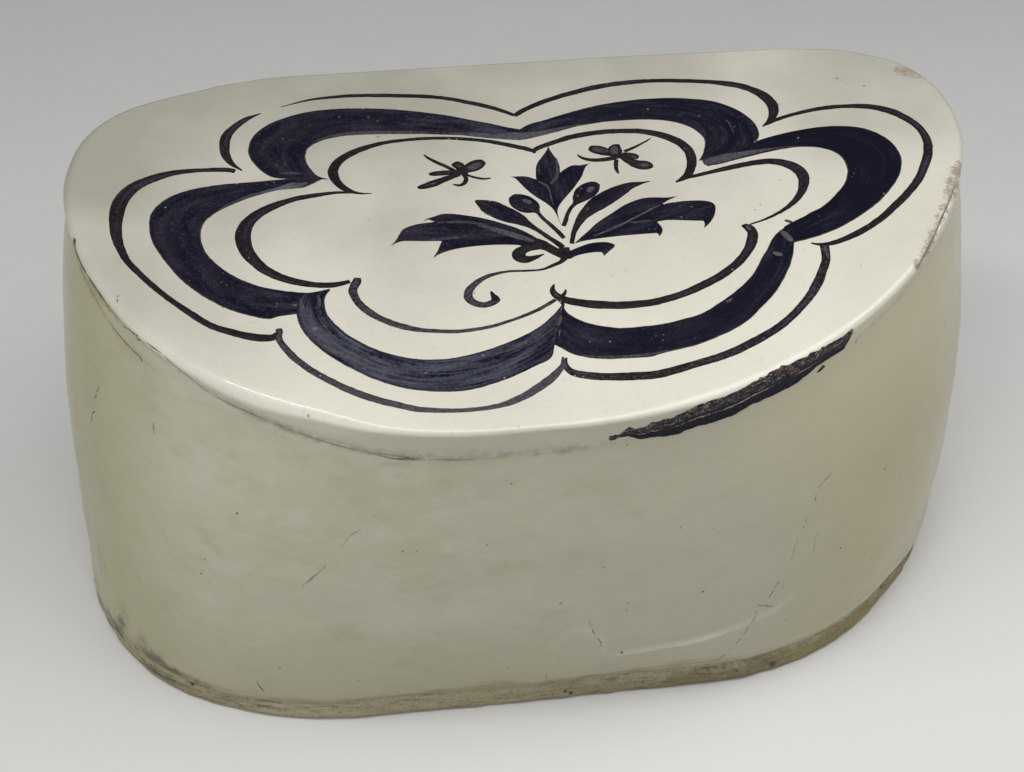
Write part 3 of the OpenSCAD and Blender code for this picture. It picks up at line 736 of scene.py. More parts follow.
def wallShape(part, levels, inset):
    # the plain wall this far in: its points, the way out, and heights over the foot and under the rim
    n = len(part["turn"])
    side, face = np.cos(np.radians(part["turn"])), np.sin(np.radians(part["turn"]))
    shrink = part["grow"] - headrestSlab["valley"] * part["crease"] - part["tuck"] - inset
    foot = part["foot"] + part["out"] * (part["toe"] - inset)[:, None]
    head = part["rim"] + part["out"] * shrink[:, None]
    foot = onBase(foot[:, 0], foot[:, 1], form["base"] + part["sole"])
    head = onTop(head[:, 0], head[:, 1], -part["joint"])
    t = np.broadcast_to(levels, (n, np.shape(levels)[-1]))
    swell = form["bulge"] + walls["rightSwell"] * np.maximum(0, side)
    swell = (swell - walls["leftSwell"] * np.minimum(0, side)) * (1 - np.maximum(0, face) ** 2)
    out = np.column_stack([part["out"], np.zeros(n)])
    tall = head[:, 2] - foot[:, 2]
    drop = (1 - t) * tall[:, None]
    # the wall leaves the slab in the direction of the slab's own side
    lean = (np.pi * swell - np.sum((head - foot) * out, 1)) / tall - part["out"][:, 1] * math.tan(slope)
    ease = (lean * walls["ease"])[:, None] * (1 - np.exp(-drop / walls["ease"]))
    sag = 1 - 0.2 * np.maximum(0, side)[:, None]
    push = np.sin(np.pi * t ** sag) * swell[:, None] - ease * smoothStep(t, 0, 0.4)
    points = foot[:, None] + (head - foot)[:, None] * t[..., None] + out[:, None] * push[..., None]
    return points, out, points[..., 2] - foot[:, 2:], drop


def wallSkin(part, levels):
    points, out, rise, drop = wallShape(part, levels, 0)
    relief, seam, ridge = wallRelief(points, rise, drop, part)
    return points + out[:, None] * relief[..., None], seam, rise, ridge


def openVent(vent, loop, verts, faces, values):
    # open a square of the grid on both skins and lead it down to a round hole
    m, k = loop.shape[1], vent["reach"]
    i = int(np.abs(loop[:, vent["level"], 0] - shift[0] - vent["x"]).argmin())
    j = int(np.abs(loop[i, :m // 2, 2] - vent["z"]).argmin())
    near = lambda v: abs(v // m - i) <= k and min(abs(v % m - j), abs(v % m - (m - 1 - j))) <= k
    faces = [face for face in faces if not (len(face) == 4 and all(near(v) for v in face))]
    walk = [(i + a, j - k) for a in range(-k, k)] + [(i + k, j + b) for b in range(-k, k)]
    walk += [(i - a, j + k) for a in range(-k, k)] + [(i - k, j - b) for b in range(-k, k)]
    middle = loop[i, j] * (1, 0, 1)
    away = np.array([loop[a, b] for a, b in walk]) * (1, 0, 1) - middle
    away /= np.linalg.norm(away, axis=1)[:, None]
    radius, outY, inY = vent["size"] / 2, loop[i, j, 1], loop[i, m - 1 - j, 1]
    # hoops as radius, y, darkening into the hole, bare clay and pale edge
    hoops = [(radius + 1, outY + 0.1, 0.05, 0, 0), (radius + 0.4, outY, 0.25, 0, 0.5),
             (radius + 0.1, outY - 0.3, 0.7, 0.3, 0), (radius, outY - 0.9, 0.9, 1, 0),
             (radius, inY + 0.3, 0.9, 1, 0), (radius + 0.3, inY, 0.9, 1, 0)]
    rows = [[a * m + b for a, b in walk]]
    for size, y, dirt, bare, pale in hoops:
        rows.append(list(range(len(verts), len(verts) + len(walk))))
        verts = np.vstack([verts, middle + away * size + (0, y, 0)])
        for key, value in (("seam", dirt), ("side", 1), ("low", bare), ("ridge", pale)):
            values[key] = np.append(values[key], np.full(len(walk), value))
    rows.append([a * m + (m - 1 - b) for a, b in walk])
    for first, second in zip(rows, rows[1:]):
        faces += [[first[q], second[q], second[q - 1], first[q - 1]] for q in range(len(walk))]
    return verts, faces


def buildWall(name, run, node, vent=None):
    part = someOf(run)
    levels = np.unique(np.concatenate([np.linspace(*row) for row in walls["levels"]]))
    innerLevels = levels if vent else np.linspace(0, 1, walls["innerLevels"])
    outer, seam, height, ridge = wallSkin(part, levels)
    inner = wallShape(part, innerLevels, form["wall"])[0][:, ::-1]
    loop = np.concatenate([outer, inner], 1)
    n, m = loop.shape[:2]
    verts = loop.reshape(-1, 3)
    faces = [face[::-1] for face in ringFaces(n, m, True).tolist()]
    faces.append(list(range(m)))
    faces.append([(n - 1) * m + k for k in range(m)][::-1])
    blank = np.zeros((n, m - len(levels)))
    ragged = 0.7 + 0.5 * softNoise(outer[:, :1], 18, 41)
    low = np.clip(1.0 - height / (walls["lowGlaze"] * ragged), 0, 1)
    values = {"seam": np.hstack([seam, blank]).ravel(), "side": np.ones(n * m),
              "low": np.hstack([low, blank + 1]).ravel(), "ridge": np.hstack([ridge, blank]).ravel()}
    if vent:
        verts, faces = openVent(vent, loop, verts, faces, values)
    return makePiece(name, verts, faces, wallGlaze, [node], values=values)


frontPiece = buildWall("frontWall", frontRun, "front_wall")
backPiece = buildWall("backWall", backRun, "back_wall", walls["vent"])
frontSkin = wallSkin(someOf(frontRun), np.linspace(0, 1, walls["fineLevels"]))[0]
print("walls built,", len(frontPiece.data.polygons) + len(backPiece.data.polygons), "faces")

# base slab: bare clay with a rounded foot and a broken line where it meets the walls
baseSlab = {
    "footRound": 2.0, "inner": 20, "middle": (0, 10), "grit": 0.3, "groove": 0.6, "grooveZ": (5.5, 7.5),
    # its side as mm outward and height
    "side": [(0.1, 2.8), (-0.1, 3.4), (0.15, 4), (0, 4.6), (0.15, 5.2), (0.05, 5.8), (0.05, 6.4),
             (-0.1, form["base"] + 0.15)],
}


def buildBase():
    look, n = baseSlab, len(facing)
    r, (lowest, highest) = look["footRound"], look["grooveZ"]
    bend = [math.radians(a) for a in range(0, 91, 15)]
    section = [(-look["inner"], 0, 0)] + [(-r + r * math.sin(a), r - r * math.cos(a), 1) for a in bend]
    section += [(grow, z, 1) for grow, z in look["side"]] + [(-form["wall"] - 6, form["base"], 0)]
    broken = look["groove"] * np.clip(1.8 * softNoise(footPoints, 9, 36) - 0.5, 0, 1)
    rings = []
    for k, (grow, z, free) in enumerate(section):
        grit = look["grit"] * softNoise(np.column_stack([footLine, np.full(n, 2.2 * k)]), 4, 33) * free
        grit -= broken * (lowest < z < highest) * free
        p = footLine + outward * (grow + ring["toe"] * free + grit)[:, None]
        rings.append(onBase(p[:, 0], p[:, 1], z + np.maximum(z - r, 0) / (form["base"] - r) * ring["sole"]))
    middle = look["middle"]
    verts, faces = capRings(rings, onBase(*middle, 0), onBase(*middle, form["base"]), False)
    makePiece("baseSlab", verts, faces, bareClay, ["base_slab"])


buildBase()
for node in ("headrest_coil", "base_coil", "left_seam_coil", "right_seam_coil"):
    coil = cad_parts[node]
    coil.data.materials.clear()
    coil.data.materials.append(bareClay)
print("base built, coils finished")


def smoothPath(knots, step):
    # an even run of points along a curve through the knots, by step in mm or by count
    knots = np.asarray(knots, float)
    held = np.vstack([2 * knots[0] - knots[1], knots, 2 * knots[-1] - knots[-2]])
    t = np.linspace(0, 1, 20, endpoint=False)[:, None]
    runs = []
    for i in range(len(knots) - 1):
        a, b, c, d = held[i:i + 4]
        runs.append(0.5 * (2 * b + (c - a) * t + (2 * a - 5 * b + 4 * c - d) * t * t
                           + (3 * b - a - 3 * c + d) * t ** 3))
    fine = np.vstack(runs + [knots[-1:]])
    along = np.append(0, np.cumsum(np.linalg.norm(np.diff(fine[:, :2], axis=0), axis=1)))
    count = step if isinstance(step, int) else max(8, int(along[-1] / step))
    at = np.linspace(0, along[-1], count)
    return np.stack([np.interp(at, along, fine[:, k]) for k in range(fine.shape[1])], 1), at


def lineNoise(at, size, seed):
    return softNoise(np.column_stack([at, at * 0, at * 0]), size, seed)


# slip smeared over the rim at the front right: upper and lower edge as x and mm over the lip
rimSmear = {
    "lift": 0.35, "sink": 0.15, "step": 0.3, "leastWidth": 0.3, "lanes": 40, "reach": 100,
    "patches": [
        ([(10.5, 9.5), (11, 8.5), (12.5, 8.5), (13.5, 9), (15, 7.5), (16.5, 6), (18.5, 7.5), (22, 7.5),
          (23, 6), (27.5, 6), (32.5, 5.5), (37.5, 4), (40.5, 3.5), (45.5, 3.5), (51, 3.5), (54.5, 2.5),
          (59, 2), (65, 1.5), (71, 2.5), (77, 2.5), (84, 3), (90, 3.5), (92.5, 3)],
         [(10.5, 10), (11, 11), (12.5, 11), (13.5, 10), (16.5, 10.5), (20.5, 13), (25.5, 13.5),
          (30.5, 14.5), (37, 13.5), (42.5, 13.5), (50, 13.5), (56.5, 12), (62, 12), (68, 12),
          (73, 11.5), (76, 10.5), (79, 9.5), (84, 9), (87, 9.5), (89.5, 9.5), (91, 6), (92.5, 3.5)]),
        ([(79, 11.5), (80, 11), (81.5, 10.5), (82.5, 11)],
         [(79, 12), (80, 12), (81.5, 11.5), (82.5, 11.5)]),
    ],
}


def skinPoint(part, s, proud):
    # the outside of the part, from the lip down on to the wall
    joint = jointAt(part)[:, None]
    lip = lipPoint(part, np.minimum(s, joint), proud)
    head = onTop(part["rim"][:, 0], part["rim"][:, 1], -part["joint"])
    wall = wallSkin(part, 1 - np.maximum(s - joint, 0) / (head[:, 2] - form["base"])[:, None])[0]
    wall = wall + np.column_stack([part["out"], 0 * part["turn"]])[:, None] * np.asarray(proud)[..., None]
    return np.where((s > joint)[..., None], wall, lip)


def buildSmear():
    look = rimSmear
    run = np.arange(turnCount - 1, turnCount + flatCount + look["reach"])
    verts, faces, uv, dry = [], [], [], []
    count = 0
    v = np.linspace(0, 1, look["lanes"])
    for upper, lower in look["patches"]:
        x = np.arange(upper[0][0], upper[-1][0], look["step"])
        part = ringAt(x, rimLine[:, 0], run)
        high = np.interp(x, *np.transpose(upper))
        high = high + 0.55 * lineNoise(x, 1.1, 51) + 0.45 * lineNoise(x, 2.6, 52)
        low = np.interp(x, *np.transpose(lower)) + 0.35 * lineNoise(x, 2.2, 53)
        low = np.maximum(low, high + look["leastWidth"])
        s = high[:, None] + (low - high)[:, None] * v
        wide = np.broadcast_to(x[:, None], s.shape)
        crust = softNoise(np.stack([wide, s, 0 * s], -1), 0.9, 54)
        edge = np.minimum(s - high[:, None], low[:, None] - s)
        edge = np.minimum(edge, np.minimum(x - x[0], x[-1] - x)[:, None])
        bulk = look["lift"] * np.clip(0.45 + edge, 0, 1) * (0.75 + 0.4 * crust)
        proud = np.where(edge > 0.01, bulk, -look["sink"])
        verts.append(skinPoint(part, s, proud).reshape(-1, 3))
        faces += (ringFaces(len(x), look["lanes"], False) + count).tolist()
        uv.append(np.stack([wide, s], -1).reshape(-1, 2) / 100)
        # dry along the upper edge, and in a streak below the middle
        middle = 0.55 + 0.05 * lineNoise(x, 9, 55)[:, None]
        streak = bell(v, middle, 0.045) * (1 + 0.8 * lineNoise(x, 5, 56)[:, None])
        dry.append(np.maximum(0.95 - smoothStep(v, 0.35, 0.55), 1.3 * streak).ravel())
        count += s.size
    return makePiece("rimSmear", np.concatenate(verts), faces, crustedSlip, [],
                     uv=np.concatenate(uv), values={"dry": np.concatenate(dry)})


# cracks, scratches and pin holes: paths of x, z, width, then how faint they are
wallMarks = {
    "proud": 0.08, "sink": 0.05, "baseProud": 0.12, "step": 0.45, "leastWidth": 0.1,
    "discSides": 12, "discShake": 0.35,
    # how far a path wavers, and how much its width comes and goes
    "wallShake": (0.35, 0.9), "rimShake": (0.1, 0.4),
    "paths": [
        ([(91.5, 79.5, 0.35), (87.5, 77.5, 0.5), (83.5, 75, 0.4)], 0.25),
        ([(83, 73, 0.4), (82.5, 71, 0.5)], 0.1),
        ([(80, 66.5, 0.4), (79.5, 65.5, 0.6), (78.5, 62.5, 0.5)], 0.1),
        ([(76.5, 59, 0.3), (75.5, 54, 0.35), (74.5, 51, 0.3)], 0.55),
        ([(71, 43.5, 0.3), (69.5, 40.5, 0.5), (68, 37, 0.4)], 0.2),
        ([(64, 35.5, 0.3), (67, 34, 0.7), (70.5, 32.5, 0.3)], 0.05),
        ([(64.5, 32.5, 0.4), (64, 31, 0.6), (62.5, 28, 0.5)], 0.1),
        ([(62, 26, 0.4), (60.5, 23, 0.5)], 0.15),
        ([(59.5, 21, 0.4), (57.5, 18.5, 0.5), (56, 16, 0.4)], 0.15),
        ([(54.5, 14, 0.5), (52, 11, 0.4), (47, 8.5, 0.4)], 0.25),
        ([(-57, 90.5, 0.4), (-58.5, 87, 0.5)], 0.86),
        ([(-62, 84, 0.4), (-64.5, 82, 0.7), (-68.5, 77, 0.6)], 0.83),
        ([(-73, 70, 0.5), (-76.5, 66, 0.9), (-80, 62, 1.0), (-81, 60.5, 0.5)], 0.76),
        ([(8.5, 39, 0.3), (10, 34.5, 0.5), (12.5, 29, 0.4), (13, 26, 0.2)], 0.35),
        ([(-4, 17.5, 0.3), (-4.5, 12, 0.5), (-2, 8.5, 0.3)], 0.4),
        ([(-98, 16.5, 0.4), (-97, 14, 0.9), (-95.5, 12, 0.5)], 0.0),
        ([(-139.5, 99.5, 0.5), (-140.5, 96, 1.1), (-141.5, 93, 0.5)], 0.2),
        ([(-142, 89, 0.8), (-143, 86.5, 1.8), (-143.5, 84, 0.8)], 0.0),
        ([(-122.5, 101.5, 0.4), (-122.5, 100, 0.7), (-122.5, 98, 0.4)], 0.4),
        ([(84, 58, 0.3), (83.5, 54, 0.4), (83, 50.5, 0.3)], 0.7),
        ([(47.5, 112, 0.3), (47.5, 109.5, 0.4)], 0.6),
    ],
    "specks": [
        (-99, 83, 1.2, 0), (-110.5, 62, 0.9, 0.3), (-45.5, 76.5, 1, 0.5), (-24, 77.5, 0.9, 0.3),
        (-16, 99.5, 1, 0.25), (36.5, 76, 0.9, 0.2), (45, 47.5, 1.3, 0.1), (93.5, 46.5, 1.1, 0.1),
        (12.5, 63.5, 0.9, 0.4), (20, 21.5, 1, 0.2), (-90, 24.5, 1, 0.3), (-65.5, 19.5, 1.2, 0.5),
        (92.5, 95.5, 1.1, 0.15), (104, 37, 0.9, 0.4), (20.5, 43, 1, 0.6), (19.5, 109, 0.9, 0.1),
        (-17, 19.5, 1, 0.5), (117.5, 58.5, 1.1, 0.4), (47.5, 73, 0.8, 0.5), (-140.5, 13.5, 1.4, 0),
        (-118, 6, 1.4, 0), (1.5, 3.5, 1.2, 0), (4.5, 2.5, 1.6, 0), (72.5, 3, 1.9, 0), (118, 6.5, 1.6, 0),
        (47, 5.5, 1, 0.1), (-40, 4.5, 1.1, 0.1), (-72, 3.5, 1, 0), (-78.5, 4.5, 0.9, 0.2),
        (28, 4, 0.9, 0.2), (60, 4.5, 1, 0.2), (-131, 5, 1.3, 0.1),
    ],
    # on the rim as facing, mm over the lip, width
    "rimPaths": [
        ([(190.5, 2.8, 0.5), (191.5, 3.4, 1.5), (192.5, 3.8, 0.7)], 0.1),
        ([(191, 3.8, 0.8), (195, 4.8, 1.2), (200, 5.6, 1.1), (205, 6.5, 1.2), (209, 7, 1.2),
          (213, 6.6, 1.3)], 0.25),
        ([(213.2, 6, 0.5), (213.6, 6.6, 1.5), (214.4, 7, 0.5)], 0.0),
        ([(215.6, 5.6, 0.4), (217, 5.4, 0.9), (219, 5.1, 0.4)], 0.25),
        ([(219.5, 5.1, 0.4), (222, 6.1, 0.7), (225, 7, 0.7), (228, 8.8, 0.4)], 0.4),
        ([(193, 4.8, 0.6), (197, 8, 1), (203, 9.9, 1.1), (207.5, 11.8, 1.1), (211.5, 12.5, 1),
          (214.5, 12.6, 0.8)], 0.3),
        ([(213.8, 11.7, 0.5), (214.4, 12.5, 1.3), (215, 13.4, 0.5)], 0.0),
        ([(206.2, 2.2, 0.4), (206.4, 2.5, 1.1), (206.8, 2.8, 0.4)], 0.1),
        ([(229.5, 9, 0.3), (232, 9.4, 0.8), (235, 9.6, 0.7), (237.5, 10.1, 0.3)], 0.3),
        ([(239, 10.3, 0.3), (243, 11.2, 0.8), (247, 12.1, 0.7), (250, 12.6, 0.3)], 0.35),
        ([(252, 12.9, 0.3), (255, 13.2, 0.7), (257.5, 13.4, 0.8), (259, 13.5, 0.4)], 0.3),
        ([(260.5, 13.6, 0.2), (263, 13.8, 0.7), (266, 14, 0.2)], 0.35),
        ([(235, 9.2, 0.3), (235.3, 9.5, 1.1), (235.6, 9.7, 0.3)], 0.1),
        ([(337, 1.2, 0.4), (331, 0.8, 0.8), (327, 1.4, 0.9), (324, 2.2, 1), (321, 3.2, 0.5)], 0.5),
    ],
    # on the top as x, y, size and how faint they are
    "topSpecks": [
        (73, 1, 0.8, 0), (75.2, 3.2, 0.9, 0.1), (84.5, 15, 0.8, 0.4), (-52, 12, 0.7, 0.5),
        (18, -10, 0.6, 0.5), (101, -30, 0.7, 0.6), (-102, -52, 0.7, 0.3), (40, 86, 0.7, 0.5),
        (118, 64, 0.8, 0.4),
    ],
}


def unit(vector):
    return vector / np.linalg.norm(vector)


def frontPlace(x, z):
    # the spot on the front of the walls or the base with this x and z, and the way out of it
    if z < form["base"]:
        away = np.abs(footLine[frontRun, 0] - form["footLeft"] + shift[0] - x)
        k = int(np.where(facing[frontRun] % 360 > 180, away, farOff).argmin())
        spot = footLine[k] + outward[k] * (ring["toe"][k] + wallMarks["baseProud"])
        return onBase(spot[0], spot[1], z), np.append(outward[k], 0)
    away = np.hypot(frontSkin[..., 0] - x, frontSkin[..., 2] - z)
    away[facing[frontRun] < 180] = farOff
    i, j = np.unravel_index(away.argmin(), away.shape)
    i, j = np.clip(i, 1, away.shape[0] - 2), np.clip(j, 1, away.shape[1] - 2)
    du = (frontSkin[i + 1, j] - frontSkin[i - 1, j]) / 2
    dv = (frontSkin[i, j + 1] - frontSkin[i, j - 1]) / 2
    gap = np.array([x, z]) - frontSkin[i, j][[0, 2]]
    a, b = np.linalg.solve(np.stack([du[[0, 2]], dv[[0, 2]]], 1), gap)
    return frontSkin[i, j] + a * du + b * dv, unit(np.cross(du, dv))


def rimPlace(turn, over):
    # the same on the rim, by its facing and the mm over the lip
    spot = lambda t, o: skinPoint(ringAt(t), np.array([[o]]), np.zeros((1, 1)))[0, 0]
    du = spot(turn + 0.3, over) - spot(turn - 0.3, over)
    dv = spot(turn, over - 0.2) - spot(turn, over + 0.2)
    return spot(turn, over), unit(np.cross(du, dv))


def buildMarks():
    look = wallMarks
    verts, faces, faint = [], [], []

    def keep(points, cells, share):
        base = sum(map(len, verts))
        verts.append(points)
        faces.extend([base + i for i in cell] for cell in cells)
        faint.append(np.full(len(points), share))

    def addDisc(middle, out, size, share, seed):
        n = look["discSides"]
        first = unit(np.cross(out, (0, 0, 1) if abs(out[2]) < 0.9 else (0, 1, 0)))
        turn = np.linspace(0, 2 * np.pi, n, endpoint=False)
        around = np.column_stack([np.cos(turn), np.sin(turn), 0 * turn])
        reach = size / 2 * (1 + look["discShake"] * softNoise(around, 0.6, seed))
        edge = np.outer(around[:, 0] * reach, first) + np.outer(around[:, 1] * reach, np.cross(out, first))
        points = np.vstack([middle - look["sink"] * out + edge, middle + look["proud"] * out])
        keep(points, [[k, (k + 1) % n, n] for k in range(n)], share)

    for k, (x, z, size, share) in enumerate(look["specks"]):
        addDisc(*frontPlace(x, z), size, share, 700 + k)
    upward = onTop(0, 0, 1) - onTop(0, 0, 0)
    for k, (x, y, size, share) in enumerate(look["topSpecks"]):
        addDisc(onTop(x, y, topHeight(x, y)), upward, size, share, 800 + k)
    paths = [(*path, frontPlace, *look["wallShake"]) for path in look["paths"]]
    paths += [(*path, rimPlace, *look["rimShake"]) for path in look["rimPaths"]]
    for k, (knots, share, place, shake, gaps) in enumerate(paths):
        path, at = smoothPath(knots, look["step"])
        path[:, 0] += shake * lineNoise(at, 1.3, 900 + k)
        path[:, 2] *= 1 - 0.45 * gaps + gaps * lineNoise(at, 1.1, 950 + k)
        line, out = (np.array(column) for column in zip(*(place(*knot) for knot in path[:, :2])))
        across = np.cross(out, np.gradient(line, axis=0))
        across /= np.linalg.norm(across, axis=1)[:, None]
        half = np.maximum(path[:, 2:3], 0) / 2
        low = line - look["sink"] * out
        strip = np.stack([low - across * half, line + look["proud"] * out, low + across * half], 1)
        wideEnough = half[:, 0] > look["leastWidth"] / 2
        kept = np.repeat(wideEnough[1:] & wideEnough[:-1], 2)
        keep(strip.reshape(-1, 3), ringFaces(len(line), 3, False)[kept].tolist(), share)
    return makePiece("wallMarks", np.concatenate(verts), faces, crackDirt, [],
                     values={"faint": np.concatenate(faint)})


smearPiece = buildSmear()
marksPiece = buildMarks()
print("smear and marks laid,", len(smearPiece.data.polygons) + len(marksPiece.data.polygons), "faces")

# how a stroke lies, in mm
brush = {
    "lane": 0.6, "margin": 0.12, "sink": 0.12, "soft": 0.8, "halo": 1.6, "fineWidth": 7, "leastWidth": 0.25,
    "shake": 0.12, "sway": 0.2, "steady": 2.5, "lineStep": 0.7, "bandStep": 0.8,
    "leafStep": 0.6, "leafGrid": 1.1, "leafEdge": 0.16, "apart": 0.37,
    "lineHalo": 0.75, "bandHalo": 1.0, "leafHalo": 0.8,
}


class BrushWork:
    # collects strokes of one layer and lays them on the top slab
    def __init__(self, name, node, seed):
        self.name, self.node, self.seed = name, node, seed
        self.verts, self.faces, self.uv = [], [], []
        self.values = {"dry": [], "pale": [], "rim": [], "fine": []}
        self.count = 0

    def add(self, x, y, edge, least, lift, faces, uv, **values):
        # margins dip into the slab, the middle stands proud
        height = np.where(edge > least, lift * np.clip(0.5 + edge / brush["soft"], 0, 1), -brush["sink"])
        self.verts.append(onTop(x, y, topHeight(x, y) + height).reshape(-1, 3))
        self.faces += [[i + self.count for i in face] for face in faces]
        self.uv.append(uv.reshape(-1, 2))
        for key, value in values.items():
            self.values[key].append(np.broadcast_to(value, x.shape).ravel())
        self.count += x.size

    def lay(self, first, second, at, lift, dry, pale, halo):
        # a ribbon between two edges
        width = np.linalg.norm(second - first, axis=1)
        lanes = int(np.clip(width.max() / brush["lane"], 5, 30))
        across = (second - first) / np.maximum(width, 0.01)[:, None]
        self.seed += 2
        shake = [brush["shake"] * lineNoise(at, 1.4, k) + brush["sway"] * lineNoise(at, 7, k + 40)
                 for k in (self.seed, self.seed + 1)]
        ease = np.minimum(1, width / brush["steady"])
        first = first - across * (shake[0] * ease)[:, None]
        second = second + across * (shake[1] * ease)[:, None]
        width = np.linalg.norm(second - first, axis=1)[:, None]
        margin = np.minimum(brush["margin"], width * 0.2)
        inside = margin + np.linspace(0, 1, lanes)[None] * (width - 2 * margin)
        place = np.hstack([0 * margin, inside, width])
        grid = first[:, None] + across[:, None] * place[..., None]
        edge = np.minimum(np.minimum(place, width - place), np.minimum(at, at[-1] - at)[:, None])
        uv = np.stack([np.broadcast_to(at[:, None], place.shape), place - width / 2], -1) / 100
        uv = uv + self.seed * brush["apart"]
        share = np.linspace(0, 1, len(at))[:, None]
        along = lambda value: np.interp(share, np.linspace(0, 1, np.size(value)), np.atleast_1d(value))
        self.add(grid[..., 0], grid[..., 1], edge, 0.001, lift, ringFaces(*place.shape, False).tolist(), uv,
                 dry=along(dry), pale=along(pale), rim=halo * np.clip(1 - edge / brush["halo"], 0, 1),
                 fine=np.clip((brush["fineWidth"] - width) / 2, 0, 1))

    def line(self, knots, lift, dry, pale):
        path, at = smoothPath(knots, brush["lineStep"])
        along = np.gradient(path[:, :2], axis=0)
        along /= np.linalg.norm(along, axis=1)[:, None]
        half = np.stack([-along[:, 1], along[:, 0]], 1) * np.maximum(path[:, 2:3], brush["leastWidth"]) / 2
        self.lay(path[:, :2] + half, path[:, :2] - half, at, lift, dry, pale, brush["lineHalo"])

    def band(self, outer, inner, lift, dry):
        count = int(smoothPath(outer, 1.0)[1][-1] / brush["bandStep"])
        first, at = smoothPath(outer, count)
        self.lay(first, smoothPath(inner, count)[0], at, lift, dry, 0.0, brush["bandHalo"])

    def leaf(self, edges, root, tip, lift, dry):
        # an outline, a shoulder just inside it and a grid of points between
        ring = np.vstack([smoothPath(edge, brush["leafStep"])[0][:-1] for edge in edges])
        n = len(ring)
        after = np.roll(ring, -1, 0)
        along = after - np.roll(ring, 1, 0)
        along /= np.linalg.norm(along, axis=1)[:, None]
        turnSign = np.sign(np.sum(ring[:, 0] * after[:, 1] - ring[:, 1] * after[:, 0]))
        shoulder = ring + brush["leafEdge"] * turnSign * np.stack([-along[:, 1], along[:, 0]], 1)
        (left, front), (right, back) = ring.min(0), ring.max(0)
        columns, rows = np.arange(left, right, brush["leafGrid"]), np.arange(front, back, brush["leafGrid"])
        inside = np.stack(np.meshgrid(columns, rows), -1).reshape(-1, 2)
        reach = lambda points: np.linalg.norm(points[:, None] - ring[None], axis=2).min(1)
        points = np.vstack([ring, shoulder[reach(shoulder) > 0.1], inside[reach(inside) > 0.6]])
        made = delaunay_2d_cdt([Vector(p) for p in points], [(i, (i + 1) % n) for i in range(n)], [], 1, 1e-5)
        flat = np.array([tuple(p) for p in made[0]])
        gap = reach(flat)
        axis = unit(np.array(tip, float) - root)
        axes = np.array([axis, (-axis[1], axis[0])])
        uv = (flat - root) @ axes.T / 100 + self.seed
        self.add(*flat.T, gap, 0.05, lift, made[2], uv, dry=dry, pale=0.0, fine=0.0,
                 rim=brush["leafHalo"] * np.clip(1 - gap / brush["halo"], 0, 1))

    def finish(self):
        values = {key: np.concatenate(value) for key, value in self.values.items()}
        makePiece(self.name, np.concatenate(self.verts), self.faces, darkSlip, [self.node],
                  uv=np.concatenate(self.uv), values=values)


def layStrokes(name, node, seed, look):
    # leaves and broad lobes first, then lines, thin washes and pin bubbles
    work = BrushWork(name, node, seed)
    for i, (edges, root, tip) in enumerate(look.get("leaves", [])):
        work.leaf(edges, root, tip, look["lift"] + look["leafRise"] * i, look["leafDry"])
    for i, (outer, inner, dry) in enumerate(look.get("lobes", [])):
        work.band(outer, inner, look["lift"] + look["rise"] * i, dry)
    for i, knots in enumerate(look.get("strokes", [])):
        lift = look["lift"] + look["rise"] * (i % look["cycle"])
        work.line(knots, lift, look["dry"], look["pale"].get(i, 0))
    for knots, pale in look["washes"]:
        work.line(knots, look["washLift"], look["washDry"], pale)
    for x, y, size in look.get("bubbles", []):
        knots = [(x - size / 2, y, 0.3), (x, y + 0.1, size * 0.7), (x + size / 2, y, 0.3)]
        work.line(knots, look["washLift"], look["bubbleDry"], look["bubblePale"])
    work.finish()


